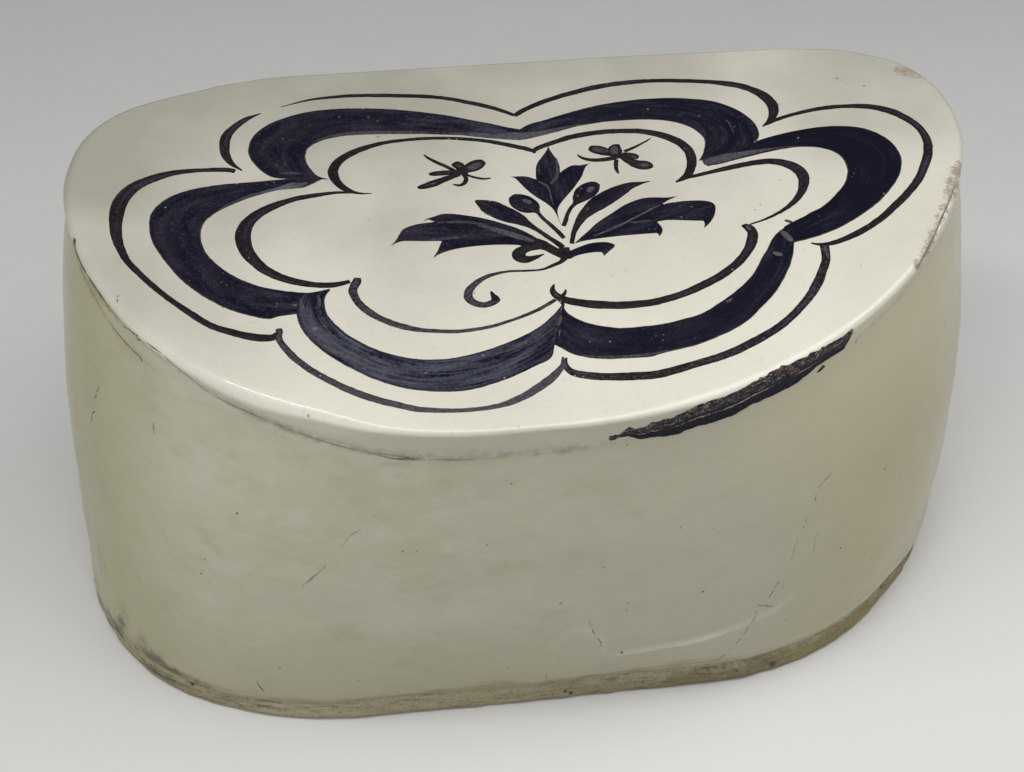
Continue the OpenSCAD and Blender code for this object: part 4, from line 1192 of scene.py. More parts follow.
# outer line: seven strokes of x, y, width, then touches of thinned slip and how pale they are
outerLine = {
    "lift": 0.09, "rise": 0.012, "cycle": 2, "dry": 0.35, "washLift": 0.13, "washDry": 0.4,
    "pale": {3: (0.25, 0.4, 0.55, 0.4), 4: 0.12},
    "strokes": [
        [(2.2, 60.2, 1.6), (-2, 63.5, 2.1), (-8, 67, 2.1), (-20, 72.4, 2.1), (-34, 75.7, 2.2),
         (-50, 77.8, 2), (-60, 78, 1.6), (-68, 77.2, 1.1), (-77, 74.6, 0.4)],
        [(-83, 72.2, 0.4), (-86, 70.9, 1.3), (-89, 69.2, 2.4), (-93, 65.3, 3.2), (-96, 60.5, 3.8),
         (-96.7, 55, 3.6), (-96.3, 50, 3), (-94.5, 45.5, 2), (-91.2, 41.5, 0.5)],
        [(-93.4, 41.6, 2.2), (-97, 42.9, 2.4), (-104, 43.6, 2.4), (-112, 43.5, 2.8), (-119, 42, 3.8),
         (-126.5, 38, 4.8), (-131, 32, 5.2), (-133, 25, 5), (-133.5, 17, 4.2), (-132.5, 8, 3.4),
         (-129, -2, 2.6), (-120, -16, 2.3), (-110, -28.3, 2.6), (-105, -33.4, 2.8), (-100, -36.6, 3.2),
         (-95, -39.2, 3.4), (-90, -41, 3.6), (-86.5, -41.2, 3.2), (-84.6, -39.5, 2.4)],
        [(-84.3, -36.8, 1.6), (-84.4, -38.5, 2.4), (-84.5, -43, 2.4), (-82.3, -48.5, 2.6),
         (-79.3, -53.5, 2.7), (-74, -60, 2.8), (-64, -68.9, 2.9), (-54, -75, 3), (-44, -79, 2.4),
         (-33, -80.6, 1.8), (-22, -80, 2.2), (-15, -77.5, 2.9), (-8, -73, 3.4), (-3, -68.6, 3),
         (0, -64.6, 1.9), (0.7, -60.4, 0.8)],
        [(1.8, -60.8, 0.6), (1, -64, 1.6), (2, -67.4, 2.6), (6, -69.6, 3.3), (13, -71.2, 3.6),
         (20, -71.9, 3.7), (27, -72, 3.7), (33, -71, 3.6), (40, -68.9, 3.2), (50, -66, 3.3),
         (61, -60.6, 3.4), (71, -54, 2.9), (80, -44.6, 3.2), (85, -37.4, 3.4), (89, -30, 3),
         (90.9, -25, 3.1), (91.6, -19.5, 3.1), (91.6, -18, 2.6)],
        [(87.2, -17.2, 0.6), (89.5, -18.2, 1.3), (93, -18.5, 2), (98, -17.2, 2.5), (105, -13.7, 2.7),
         (112, -8.8, 2.6), (120, -1.2, 2.8), (125, 4, 2.9), (130, 10.2, 3), (134, 17.2, 3.1),
         (136.7, 23.5, 3.2), (138, 30, 3.2), (137, 37, 3.2), (133.6, 42.8, 3.5), (129, 47.4, 3.5),
         (122, 50.6, 2.9), (112, 51.8, 2.3), (104, 51.2, 2.1), (97, 49.6, 1.9), (90, 47.2, 1.9),
         (85.5, 44.7, 1.1)],
        [(84.2, 43.8, 0.6), (87, 46.5, 1.9), (89.3, 50, 3.3), (90.4, 55, 4.1), (89, 60, 4.1),
         (86, 64.3, 3.7), (80, 68.5, 3.1), (70, 71.6, 2.4), (60, 73.4, 2.2), (50, 74.3, 2.3),
         (40, 74.1, 2.6), (30, 72.5, 2.6), (20, 69.6, 2.6), (12, 66.4, 2.5), (6, 63.3, 2.3),
         (3, 61.2, 2.4), (1.6, 59.8, 1.4)],
    ],
    "washes": [
        ([(91.4, -26, 0.6), (91.6, -22, 1.4), (91.6, -18.6, 1.2)], 0.45),
        ([(1, -66.6, 0.4), (0.9, -64, 0.9), (1, -62, 0.4)], 0.5),
    ],
}
layStrokes("outerLine", "outer_line", 100, outerLine)

# broad band: six lobes, each its outer edge, inner edge and dryness from start to end
broadBand = {
    "lift": 0.10, "rise": 0.015, "washLift": 0.22, "washDry": 0.5, "bubbleDry": 0.3, "bubblePale": 0.5,
    "lobes": [
        [[(3.5, 52.6), (-4, 55.6), (-10, 58.4), (-20, 62.7), (-30, 66.2), (-40, 68.8), (-50, 70.7),
          (-60, 71.4), (-70, 70.4), (-80, 66.5), (-86, 61), (-88.8, 54), (-88.6, 48), (-85.8, 41.8),
          (-82, 37.2), (-77, 35.6)],
         [(3.5, 46.9), (-4, 48.3), (-10, 50), (-20, 52.2), (-30, 53.8), (-40, 55), (-50, 56),
          (-58, 56.2), (-64, 54.4), (-68.6, 51.2), (-70, 48), (-70.2, 45), (-69.7, 42), (-68, 38),
          (-66.4, 35.6), (-63, 33.6)], (0.6, 0.35, 0.2, 0.15, 0.2)],
        [[(-65.6, 35), (-72, 35.6), (-80, 35.6), (-90, 35.4), (-100, 35.2), (-110, 33.6), (-117, 30),
          (-121.4, 24.5), (-123, 17), (-121.8, 8), (-118.6, -1), (-113.5, -11), (-107, -19.6),
          (-100, -26), (-93, -30.2), (-87.4, -32.4), (-84, -31.6), (-77, -31)],
         [(-65.4, 34.2), (-68.6, 32.2), (-72.5, 30.4), (-78, 30.2), (-84, 29.4), (-90, 27.2),
          (-97, 23.8), (-103, 19.2), (-105.8, 14), (-106.4, 8), (-105, 1.4), (-101.4, -5), (-96.4, -11),
          (-90, -16), (-84.6, -18.6), (-80, -20), (-74, -21.4), (-66.8, -20.2)],
         (0.25, 0.12, 0.1, 0.12, 0.4)],
        [[(-76.4, -21.6), (-78.2, -27), (-78.6, -33), (-77.2, -40), (-73.8, -46.6), (-69.6, -52.4),
          (-64, -58.4), (-57, -64.4), (-49.5, -68.8), (-41, -71.6), (-32, -72.4), (-24, -70.9),
          (-16, -68), (-8, -64), (-3, -60.9), (-1, -55)],
         [(-66.8, -20.4), (-69, -24), (-69.5, -29), (-68.6, -34), (-65.8, -39.2), (-61.6, -45),
          (-56.6, -49.8), (-50.6, -53.8), (-43.6, -56.6), (-36, -57.6), (-28, -56.6), (-20, -54.3),
          (-10, -49.9), (-4, -46), (0.4, -41.6), (4.2, -36.8)], (0.5, 0.85, 0.75, 0.7, 0.55)],
        [[(-1.6, -54.6), (1, -57.2), (3.4, -59.6), (8, -62), (14, -63.5), (20, -63.9), (27, -64),
          (31, -63), (38, -61.6), (45, -59.6), (53, -56), (60, -51.6), (65.4, -46.2), (70.6, -40.6),
          (75, -34), (78.4, -28), (80.8, -22), (82.4, -16)],
         [(4.1, -36.6), (4.6, -40.2), (6.6, -43.2), (9.6, -45.8), (14, -48.2), (20, -49.8), (28, -50.1),
          (34, -49.6), (41, -48), (47, -46), (53, -42), (58, -38), (62.4, -34), (66.4, -29.4),
          (70.2, -23), (73.6, -17.4), (76.6, -12.6), (81, -8.4)], (0.25, 0.12, 0.1, 0.15, 0.35)],
        [[(81, -17), (88, -15.3), (95, -12.8), (101, -9.6), (108, -5), (114, 0), (120, 6.6),
          (124.6, 13.4), (127, 20.6), (127.2, 26), (125.6, 31), (122, 36), (117, 39.5), (110, 41.2),
          (103, 41.4), (95, 40.4), (88, 38.8), (80, 36.2), (70, 31.4), (60.6, 28.2)],
         [(80.4, -8.6), (84, -6.4), (90, -3), (95, 0), (100, 4.6), (104.4, 10), (107, 15), (107.9, 20),
          (107, 25), (104, 28.6), (100, 30.6), (95, 31.4), (90, 31.2), (86, 30.6), (82, 29.8),
          (78, 28.8), (74, 27.8), (70, 26.7), (66, 25.6), (61.6, 25.2)], (0.3, 0.12, 0.08, 0.12, 0.4)],
        [[(61, 28.6), (76, 32.6), (81.6, 37.6), (82.8, 42), (82.2, 47), (80, 51.6), (76.4, 56),
          (70, 60.5), (60, 63.4), (50, 64.3), (42, 64.2), (32, 63), (22, 60.4), (12, 57), (6, 55),
          (2, 52.2)],
         [(59.4, 28.2), (61.4, 31.6), (63, 36), (63.4, 40), (62.6, 43), (60.4, 46.6), (56.4, 49.8),
          (51, 52), (45, 53.1), (38, 53.4), (30, 53.2), (22, 52), (14, 49.6), (8, 48), (4, 47.1),
          (1, 46.8)], (0.3, 0.35, 0.2, 0.2, 0.5)],
    ],
    # thinned slip: path and how pale it is
    "washes": [
        ([(-24, 54, 0.6), (-14, 51.9, 2), (-6, 50, 2.8), (2, 49.2, 4), (9, 49.8, 3), (17, 51.6, 1.8),
          (26, 53.4, 0.8)], (0.25, 0.5, 0.6, 0.45, 0.2)),
        ([(-67, 53.8, 0.6), (-62, 55.9, 1.5), (-55, 57, 1.9), (-45, 56.6, 1.9), (-34, 55.2, 1.6),
          (-24, 53.7, 0.8)], (0.35, 0.4, 0.35, 0.25)),
        ([(-101, 21.8, 0.5), (-96, 25, 1.3), (-90, 28, 1.6), (-83, 30.2, 1.5), (-79, 31.2, 2),
          (-76, 32, 3), (-73, 32, 2.4), (-70, 33, 1)], (0.3, 0.35, 0.45, 0.8, 0.4)),
        ([(-80, 38.6, 0.6), (-76, 38.6, 1.4), (-72, 37.6, 1)], 0.35),
        ([(-76.6, -23.4, 0.5), (-76.8, -27.4, 1.5), (-76, -32, 1.4), (-74.4, -36, 0.8)], 0.45),
        ([(-71.4, -22.4, 0.8), (-71.2, -26, 1.5), (-71.4, -29.5, 0.6)], 0.4),
        ([(-74.2, -38, 0.6), (-73.4, -38.8, 1.8), (-72.4, -39.4, 1)], 1.0),
        ([(-79.6, -26.6, 0.8), (-78.8, -27, 1.2), (-78, -27.2, 0.6)], 0.8),
        ([(-74, -42, 0.5), (-71, -47, 1.6), (-66, -52, 2.2), (-60, -57, 1.8), (-54, -60, 0.6)],
         (0.3, 0.55, 0.5, 0.3)),
        ([(-20, -57.6, 0.4), (-15, -56, 1.2), (-9, -53, 1.2), (-4, -50, 0.6)], 0.4),
        ([(1, -47.6, 0.5), (2.2, -44.6, 1.2), (2.8, -41.6, 0.6)], 0.5),
        ([(0.8, -52, 0.3), (1.2, -49.8, 0.8), (1.8, -48.4, 0.4)], 0.7),
        ([(6, -60.6, 0.4), (12, -62.4, 1.2), (20, -63, 1.3), (28, -62.8, 1.2), (34, -61.6, 0.4)], 0.35),
        ([(74, -20.4, 0.6), (75.8, -21.4, 2.2), (77.6, -22.6, 0.8)], 0.7),
        ([(78.8, -9.8, 0.8), (80, -12, 2.4), (81.2, -14.6, 2.4), (82, -16.6, 0.8)], 0.55),
        ([(81.4, -5.2, 0.9), (83, -6.2, 1.4), (84.4, -7.2, 0.6)], 0.4),
        ([(54.6, -42.4, 0.5), (56, -41.6, 1.2), (57.4, -40.6, 0.5)], 0.6),
        ([(60.6, 27, 2.2), (64, 27.6, 4), (68, 28.7, 4.2), (73, 29.6, 3.6), (79, 30.8, 2.4),
          (86, 31.6, 1.2), (95, 32, 0.6)], (0.45, 0.5, 0.45, 0.35, 0.2)),
        ([(79.6, 35.2, 0.8), (80.8, 36.4, 1)], 0.5),
        ([(72, 51, 0.5), (73.4, 48, 1.2), (74, 43, 1), (73.6, 40, 0.5)], 0.25),
    ],
    # pin bubbles that let the pale slip through: x, y, size
    "bubbles": [
        (-77, 57, 1.4), (-80, 43.2, 1.2), (-84.6, 60.4, 1.2), (-47.6, 65, 1.6), (31.6, 57.6, 1.1),
        (57.6, 53.6, 1.2), (63.4, 47.4, 1), (79, 50.4, 1.2), (-101, -25.2, 1), (-104, -21.6, 0.9),
        (-87, -22, 0.8), (2.7, 48.2, 1.2),
    ],
}
layStrokes("broadBand", "broad_band", 200, broadBand)

# inner line: six lobes, and the small hook at the front point
innerLine = {
    "lift": 0.09, "rise": 0.012, "cycle": 2, "dry": 0.3, "washLift": 0.13, "washDry": 0.3,
    "pale": {2: (0.15, 0.38, 0.4, 0.25)},
    "strokes": [
        [(6.2, 39, 0.8), (5, 41.2, 2), (-1, 44.2, 2.2), (-10, 47.9, 2), (-20, 50.4, 1.9),
         (-30, 51.4, 1.8), (-40, 51.2, 1.9), (-45, 50.5, 2.3), (-50, 48.9, 2.8), (-55, 46.5, 3.3),
         (-59.6, 42.6, 3.4), (-61.7, 38, 3.7), (-61.4, 34, 3.6), (-60, 30.5, 3), (-57.5, 27.5, 2.4),
         (-54, 25.5, 1.2), (-49.5, 24.9, 0.4)],
        [(-55, 25.9, 1), (-62, 26.7, 1.6), (-70, 26, 2.3), (-77, 24.5, 2.6), (-83, 21.9, 3.5),
         (-88, 18.5, 4.2), (-91.6, 14, 4.9), (-93, 8, 5.3), (-92.2, 0.5, 4.8), (-88.4, -7, 4.1),
         (-84, -11.8, 3.6), (-78, -15.6, 3.4), (-72, -18, 2.9), (-66, -18.7, 2.6), (-60.4, -17.6, 1.8)],
        [(-58.2, -15.8, 2), (-58.8, -18.2, 3), (-60.2, -21.6, 2.9), (-60, -25, 3), (-58.4, -29.6, 2.9),
         (-55, -34.5, 2.8), (-50, -39, 2.8), (-45, -42, 2.5), (-40, -43.8, 2.1), (-30, -45.6, 1.8),
         (-20, -44.8, 1.6), (-12, -42.3, 1.5), (-5, -39.3, 1.6), (0, -36.3, 1.7), (2.6, -34.4, 1.6)],
        [(3, -27, 0.4), (1.9, -29.5, 1.8), (2.2, -32, 2.7), (4.4, -34.6, 3.2), (8, -36.4, 3.6),
         (14, -38.3, 3.9), (22, -39.7, 3.8), (30, -39.6, 3.4), (36, -38.6, 3.2), (43, -36.4, 3.3),
         (50, -33, 3.5), (57, -28.7, 3.2), (63, -23.4, 3.2), (67, -18, 3.3), (69.5, -12.4, 3.7),
         (69.8, -9.4, 3.5), (68.6, -7.2, 3.6), (67, -7.6, 2)],
        [(69.6, -6.2, 0.8), (76, -3.8, 1.2), (82, -0.3, 1.6), (87, 4, 2.4), (90.5, 9, 3.2),
         (92.3, 15, 4.3), (91.5, 19.5, 4.7), (88.5, 23, 4.1), (84, 25, 3.3), (78, 25.1, 3),
         (70, 23.7, 2.5), (62, 21.8, 2), (55, 20.2, 1.5), (50.5, 18.6, 0.8)],
        [(49.6, 18, 0.8), (53, 20, 2.3), (55.5, 23, 3.1), (57.2, 28, 3.5), (57.4, 33, 3.7),
         (55.8, 38, 3.7), (52, 42.2, 3.5), (46.4, 45.6, 3), (40, 47.4, 2.7), (30, 48, 2.8),
         (20, 46.7, 2.7), (12, 44, 2.4), (7, 41.7, 2.2), (5.4, 40, 1.6)],
        [(6.3, -29.8, 0.4), (5.5, -32, 1.3), (3.6, -34.6, 1.8), (4.2, -37, 1.2), (3.8, -39, 0.7)],
    ],
    "washes": [
        ([(68, -7, 1), (69, -7.4, 1.8), (69.6, -9.4, 0.8)], 0.5),
        ([(-58.6, -16.8, 1), (-59.2, -19, 1.5), (-60, -21.4, 0.6)], 0.4),
        ([(2.4, -30, 0.4), (2.7, -32.4, 1.2), (3.4, -34, 0.6)], 0.35),
    ],
}
layStrokes("innerLine", "inner_line", 300, innerLine)

# flower: leaves drawn as outlines, then single strokes and their pale hearts
flowerSpray = {
    "lift": 0.10, "rise": 0.012, "cycle": 3, "dry": 0.2, "leafRise": 0.01, "leafDry": 0.25,
    "washLift": 0.19, "washDry": 0.3, "pale": {4: (0, 0, 0.25, 0.35, 0.25)},
    "leaves": [
        ([[(3, -7.6), (0.4, -4), (-4.2, 0.9), (-10, 5), (-15, 7.9), (-20, 10), (-25, 11.6),
           (-28.4, 11.9), (-31, 11), (-34.6, 9.8)],
          [(-34.6, 9.8), (-32.6, 9.2), (-31.6, 8.2)],
          [(-31.6, 8.2), (-36.3, 7.9), (-39.6, 7), (-41.8, 5.7), (-43.2, 3.4), (-44.6, 0.6),
           (-47.4, -3.1)],
          [(-47.4, -3.1), (-45.6, -1.6), (-43.6, -0.6), (-41.6, -0.3), (-36, -1.1), (-30, -1.8)],
          [(-30, -1.8), (-30.9, -3.8), (-31.8, -6.2), (-34.2, -10.6)],
          [(-34.2, -10.6), (-32.2, -8.8), (-30, -7.6), (-27, -6.6), (-23, -6), (-18, -5.8),
           (-12, -6.1), (-6, -7.1), (-3, -8.6), (3, -7.6)]], (1, -6), (-40, 2)),
        ([[(9.6, 0.4), (9.1, 4.2), (9.1, 7.4), (9.6, 9.8), (10.9, 12.3), (13.3, 15.6), (15.8, 18.9),
           (18.2, 22.6), (19.8, 25.2), (20.9, 28), (22, 30.3), (23.6, 31.9)],
          [(23.6, 31.9), (20, 31.3), (17.9, 31.6), (16, 30.9), (14.2, 29.6), (13, 28.6)],
          [(13, 28.6), (13.3, 31.4), (13.1, 33.5), (12.5, 36.4), (11.6, 39.6), (10.9, 43)],
          [(10.9, 43), (9.8, 40.2), (7.9, 37.2), (6.2, 34.6), (5.2, 31.8), (4.7, 28.6), (4.4, 25.8)],
          [(4.4, 25.8), (2.2, 27.3), (0, 28), (-2.4, 28.1), (-4.9, 28.7)],
          [(-4.9, 28.7), (-2.6, 27.2), (-1.7, 25.6), (-0.7, 23.4), (0.6, 20.6), (2.9, 16.8), (5.8, 13),
           (7.6, 9.8), (8.4, 6.4), (9, 2.2), (9.6, 0.4)]], (9.5, 1), (9.5, 42)),
        ([[(11.6, -9), (14.6, -5.7), (17.5, -2.8), (20, 0), (23.3, 2.8), (26.7, 5.3), (30, 7.9),
           (33.3, 9.8), (36.7, 11.1), (39.6, 11.5), (42.5, 11.2), (46, 10.7), (49.8, 11.3)],
          [(49.8, 11.3), (47.6, 10), (45.4, 8.8), (44, 7.6)],
          [(44, 7.6), (47, 8), (50.4, 8.2), (54, 8.1), (57, 7.7), (59.4, 6.7), (60.6, 5), (60.3, 2.2),
           (59.4, -0.4), (58, -2.8), (56.6, -4.6), (54.2, -6.7)],
          [(54.2, -6.7), (55.3, -4.4), (55.2, -2.7)],
          [(55.2, -2.7), (52, -2.2), (48, -1.5), (43.6, -0.9), (40.4, -1.3)],
          [(40.4, -1.3), (41.1, -3), (41.5, -4.8), (41.1, -6.6), (39.7, -8.9)],
          [(39.7, -8.9), (39.6, -7.8), (39.2, -6.9)],
          [(39.2, -6.9), (33, -6.8), (26, -6.9), (20, -7.3), (15, -7.9), (11.6, -9)]], (12, -8.6),
         (54, 4)),
        ([[(7.6, -12.6), (10, -11.9), (12.6, -10.7), (15.8, -9.4), (18.4, -8.9), (20.8, -8.9),
           (23, -9.4), (24.9, -10.8), (24.4, -12.2), (22.8, -13.7), (20.3, -16.3)],
          [(20.3, -16.3), (20.4, -15), (20, -14)],
          [(20, -14), (17.4, -13.8), (14, -14.2), (11.6, -14.9), (9, -16), (7.6, -12.6)]], (8, -14),
         (23, -11)),
    ],
    "strokes": [
        [(8.4, -10.4, 2.4), (6.4, -7.4, 2.3), (4.2, -4.4, 2), (0.9, 0.2, 2.1), (-1.5, 3.1, 3.3),
         (-4.1, 5.9, 5.8), (-7.1, 8.5, 7.3), (-10, 11, 7.6), (-12.7, 13.6, 6.9), (-15, 15.7, 4),
         (-17.1, 17.5, 0.5)],
        [(9.2, -6, 1.4), (8.2, -3, 2), (6.2, 1, 1.8), (4, 5, 1.5), (2.6, 8.6, 1.8), (1.3, 10.6, 6.2),
         (-0.8, 13, 8.2), (-2.8, 15.5, 7.6), (-4.5, 17.4, 4.4), (-5.3, 18.2, 1)],
        [(9.7, 0.2, 1.6), (11, 3.2, 1.7), (12.2, 6.6, 1.5), (13.6, 9.4, 1.5), (15.4, 11.6, 2),
         (17, 13.8, 5), (19, 16.2, 7), (21.2, 18.4, 7), (23.2, 20, 5), (24.9, 21, 1)],
        [(11.1, -9, 1.8), (12.5, -3.8, 1.9), (14.8, 1.2, 2.6), (17, 4.8, 3.8), (19.4, 7.5, 5.2),
         (22, 9.9, 6.6), (25, 12.2, 6.9), (28.3, 14.5, 6.6), (31.6, 16.6, 5.6), (34.6, 18.3, 3.6),
         (38.5, 19.2, 1.5), (42, 19.9, 0.4)],
        [(-1, -5.4, 3.4), (1.4, -7.4, 4.4), (4, -10, 3.8), (6.6, -12.8, 3.6), (8, -14.8, 3),
         (6.8, -16.8, 1.8), (4.2, -18.2, 1.6), (0, -19.9, 1.1), (-5, -19.9, 1.1), (-11, -19.5, 1.3),
         (-16.7, -20.7, 1.8), (-20.8, -23.2, 2.4), (-24, -27, 3), (-24.6, -30.6, 3.2), (-22.8, -33.4, 3),
         (-19.6, -34.4, 2.8), (-16.6, -33, 2.8), (-15.6, -31.4, 2.2)],
        [(-17.4, -27.8, 0.5), (-17, -30, 1.6), (-16.4, -32, 2.8), (-17, -34, 2)],
        [(3.4, -9.4, 1.6), (0, -8.6, 3), (-3.4, -9, 3.6), (-6, -10.6, 4.4), (-6.2, -13, 4.6),
         (-4.4, -14.4, 3.8), (-1.6, -13.9, 2.2), (2.2, -12.3, 0.4)],
        [(8.6, -9.6, 3.4), (8.4, -12, 3.8), (8.2, -14.4, 3)],
    ],
    "washes": [
        ([(-1.8, 15.8, 0.7), (0, 14.6, 2.2), (1.7, 13.2, 0.9)], 0.6),
        ([(20, 16.4, 0.8), (21.4, 17.9, 2.3), (23, 19.4, 1)], 0.55),
        ([(16.4, 14.6, 0.4), (16.8, 15.2, 1), (17.2, 15.8, 0.4)], 0.7),
        ([(-31, 7.4, 0.5), (-26, 7.4, 1.1), (-20, 6.4, 1.4), (-14, 4, 1)], 0.35),
        ([(-18, 4.6, 0.6), (-13, 2.2, 2.2), (-8, -1, 2.6), (-3, -4.2, 2.4), (0, -6, 0.8)],
         (0.3, 0.5, 0.55, 0.4)),
        ([(-36, -0.6, 0.5), (-31, -0.8, 1.2), (-26, -0.8, 1.4), (-21, -0.2, 0.8)], 0.35),
        ([(12.6, 36.6, 0.4), (12.6, 33, 1.2), (12.2, 29, 1.4), (11, 25.4, 1.3), (8.6, 22.2, 1)], 0.4),
        ([(4.8, 25, 0.8), (6.4, 23, 1.2), (7.8, 21, 1.2), (8, 17, 0.8), (8.1, 11, 0.6)], 0.4),
        ([(6.2, 32.8, 0.5), (6, 30, 1.1), (6, 27.4, 0.5)], 0.25),
        ([(43.4, 7.2, 0.5), (40, 5.6, 0.9), (36.6, 3.5, 1), (33.2, 1.5, 1), (30, -0.4, 1.2),
          (26.6, -2.2, 1.1), (22.4, -4.3, 1), (18, -6, 0.5)], 0.5),
        ([(30.6, -0.4, 0.6), (33.4, -0.8, 0.9), (37, -0.5, 0.9), (39, -1, 0.4)], 0.4),
        ([(52.2, 4.6, 0.6), (52.8, 4.8, 1.1), (53.4, 4.9, 0.6)], 0.6),
        ([(18.2, 6.6, 0.6), (18.8, 8, 1.3), (19.6, 9.4, 0.6)], 0.3),
        ([(-14.6, 11, 0.4), (-13.4, 9.8, 1), (-11.6, 8.2, 0.4)], 0.3),
    ],
}
layStrokes("flowerSpray", "flower_spray", 400, flowerSpray)

# insects: feelers, wings, bodies and legs, then the grey wash inside them
insectBrush = {
    "lift": 0.09, "rise": 0.01, "cycle": 8, "dry": 0.25, "pale": {}, "washLift": 0.2, "washDry": 0.3,
}
leftInsect = {
    **insectBrush,
    "strokes": [
        [(-31.2, 43.5, 0.5), (-29.6, 41, 1.2), (-26.7, 38.1, 1.6), (-24.2, 35.9, 1.6), (-21.4, 33, 1.8)],
        [(-30.8, 32.7, 1), (-28.5, 32.6, 2.4), (-25, 32.6, 2.6), (-20, 32.6, 2)],
        [(-35.2, 26.1, 1), (-33, 26.4, 2.6), (-29, 27.8, 3.4), (-25, 29.6, 2.8), (-20, 31.6, 2.2)],
        [(-21.6, 38.2, 1.4), (-20.8, 37, 3.6), (-19.6, 35.4, 3.8), (-19.4, 32.6, 2.2)],
        [(-11, 37.4, 1.6), (-12.8, 36.4, 4.4), (-15.4, 34.9, 5.2), (-18.2, 33.4, 3.4), (-20.2, 32, 1.8)],
        [(-19.3, 32, 1.6), (-18.5, 29.4, 1.7), (-19, 27.2, 1.7), (-20.8, 25.7, 1.4), (-23.4, 26.6, 0.6)],
        [(-18.4, 31, 1.2), (-15.4, 29.1, 1.1), (-12.5, 28, 1), (-9.8, 28.2, 0.6)],
        [(-23, 32.8, 1.4), (-20.4, 32.4, 2.8), (-17.2, 31, 1.4)],
    ],
    "washes": [
        ([(-12, 36.6, 0.8), (-13.6, 35.6, 2.8), (-16, 34.3, 3), (-18, 33.4, 1)], 0.4),
        ([(-20.8, 36.8, 0.6), (-20, 35.8, 1.6), (-19.6, 34.4, 1)], 0.3),
        ([(-33, 26.6, 0.5), (-30, 27.5, 1), (-27, 28.6, 0.5)], 0.3),
        ([(-29, 32.6, 0.4), (-26, 32.6, 0.9), (-23, 32.6, 0.4)], 0.25),
    ],
}
rightInsect = {
    **insectBrush,
    "strokes": [
        [(46.2, 42.9, 0.5), (43.3, 40.8, 1), (39.2, 38.3, 1.3), (35.4, 36.4, 1.4)],
        [(24, 40.4, 1.2), (25.4, 39.6, 3.8), (27.6, 38.4, 4.6), (30, 37, 4), (32.4, 35.6, 2.6)],
        [(33.6, 41.4, 1.2), (33.6, 40.4, 2.8), (32.8, 38, 5), (32.6, 35.4, 4.4), (33, 33.4, 2.4)],
        [(19.8, 37.4, 0.5), (20.9, 35.4, 1.2), (23.3, 33.8, 1.7), (26.7, 33.1, 2), (30.4, 33.3, 2.2),
         (33.4, 34, 2)],
        [(34.4, 35.2, 2.2), (36.4, 34.6, 2.8), (38.4, 33.6, 3.4), (40.4, 32.6, 1.6)],
        [(34.6, 34, 2.4), (36.6, 31.4, 3.2), (38.8, 29.4, 4.4), (41, 28.4, 4.9), (43, 28, 3.8),
         (44.4, 28, 1)],
        [(32.6, 33, 1.6), (31.8, 29.4, 1.7), (31.7, 27, 1.4), (32, 24.8, 0.7)],
        [(30.8, 35.2, 1.6), (33.6, 34.6, 3.2), (37, 33.2, 1.6)],
    ],
    "washes": [
        ([(25, 39.9, 0.8), (26.6, 39, 2.4), (29, 37.8, 2.4), (31, 37, 1.4)], 0.35),
        ([(33.4, 40.4, 0.7), (32.8, 38.4, 2.6), (32.4, 36.2, 2.6), (32.6, 35, 1)], 0.45),
        ([(37.4, 33.8, 0.5), (38.6, 33.4, 1.4), (39.6, 32.8, 0.6)], 0.35),
        ([(39.2, 29, 0.6), (41, 28.5, 2.4), (43, 28.2, 1)], 0.45),
    ],
}
layStrokes("leftInsect", "left_insect", 500, leftInsect)
layStrokes("rightInsect", "right_insect", 600, rightInsect)
print("brushwork laid")

# pale floor and soft studio light
studio = {
    "floor": (0.82, 0.815, 0.80), "floorShade": 0.97, "floorRough": 0.7, "floorReach": 3,
    "sky": (0.96, 0.98, 1.0, 1), "skyPower": 0.21,
    # soft boxes as place, aim, size, power and twist
    "boxes": {
        "overBox": ((0.15, -0.32, 0.60), (0.06, -0.05, 0.1), (1.6, 1.0), 1.5, 0),
        "rightBox": ((0.55, 0.06, 0.50), (0.1, -0.03, 0.12), (0.3, 0.3), 0.45, 0),
        "nearBox": ((0.24, -0.14, 0.49), (0.14, -0.08, 0.12), (0.45, 0.45), 0.8, 0),
        "glintBox": ((-0.25, -0.2, 0.72), (-0.25, -0.2, 0.1), (0.55, 0.07), 1.3, -30),
        "frontBox": ((-0.7, -1.1, 0.5), (0, 0, 0.06), (1.2, 1.0), 2.15, 0),
        "leftBox": ((-1.0, -0.15, 0.65), (0, 0, 0.06), (1.2, 1.2), 2.6, 0),
    },
}
floorMesh = bpy.data.meshes.new("floor")
far = studio["floorReach"]
floorMesh.from_pydata([(-far, -far, 0), (far, -far, 0), (far, far, 0), (-far, far, 0)], [], [(0, 1, 2, 3)])
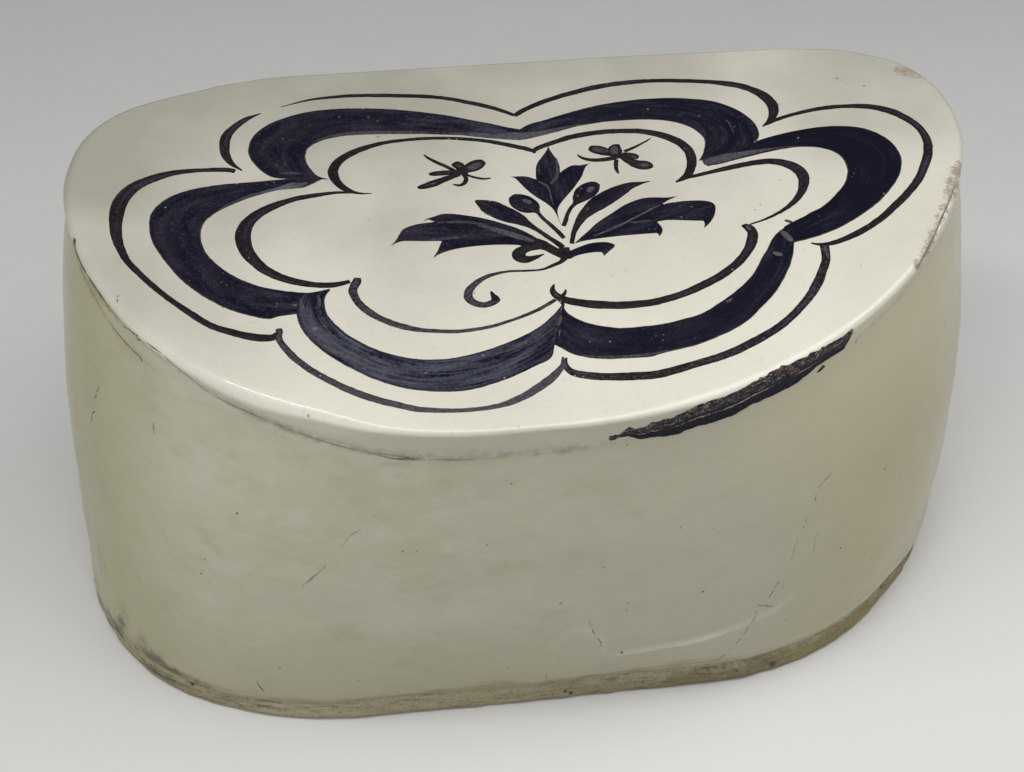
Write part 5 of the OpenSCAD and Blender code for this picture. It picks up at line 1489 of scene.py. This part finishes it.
floor = bpy.data.objects.new("floor", floorMesh)
bpy.context.scene.collection.objects.link(floor)
pot = Finish("floorPaint")
shaded = tuple(c * studio["floorShade"] for c in studio["floor"])
floorTint = pot.blend(pot.spread(pot.grain(6), 0.3, 0.7), studio["floor"], shaded)
floorMesh.materials.append(pot.close(floorTint, dull=studio["floorRough"]))

world = bpy.data.worlds.new("studio")
world.use_nodes = True
bpy.context.scene.world = world
sky = world.node_tree.nodes["Background"]
sky.inputs["Color"].default_value = studio["sky"]
sky.inputs["Strength"].default_value = studio["skyPower"]

for name, (place, aim, size, power, twist) in studio["boxes"].items():
    lamp = bpy.data.lights.new(name, "AREA")
    lamp.shape = "RECTANGLE"
    lamp.size, lamp.size_y = size
    lamp.energy = power
    box = bpy.data.objects.new(name, lamp)
    box.location = place
    turn = (Vector(aim) - Vector(place)).to_track_quat("-Z", "Y").to_matrix()
    box.rotation_euler = (turn @ Matrix.Rotation(math.radians(twist), 3, "Z")).to_euler()
    bpy.context.scene.collection.objects.link(box)
print("studio lit")

# camera at the photograph's angle
eye = {"azimuth": -7.21, "elevation": 36.52, "distance": 0.8413, "aim": (-0.00444, -0.00065, 0.07065),
       "roll": -0.59, "lens": 87.75, "sensor": 36}
az, el, roll = (math.radians(eye[k]) for k in ("azimuth", "elevation", "roll"))
backward = Vector((math.sin(az) * math.cos(el), -math.cos(az) * math.cos(el), math.sin(el)))
right = (-backward).cross(Vector((0, 0, 1))).normalized()
up = right.cross(-backward)
sideways = right * math.cos(roll) + up * math.sin(roll)
upright = up * math.cos(roll) - right * math.sin(roll)
view = bpy.data.cameras.new("view")
view.sensor_width = eye["sensor"]
view.lens = eye["lens"]
viewer = bpy.data.objects.new("view", view)
bpy.context.scene.collection.objects.link(viewer)
turned = Matrix((sideways, upright, backward)).transposed().to_4x4()
viewer.matrix_world = Matrix.Translation(Vector(eye["aim"]) + backward * eye["distance"]) @ turned
bpy.context.scene.camera = viewer
bpy.context.scene.view_settings.view_transform = "Standard"
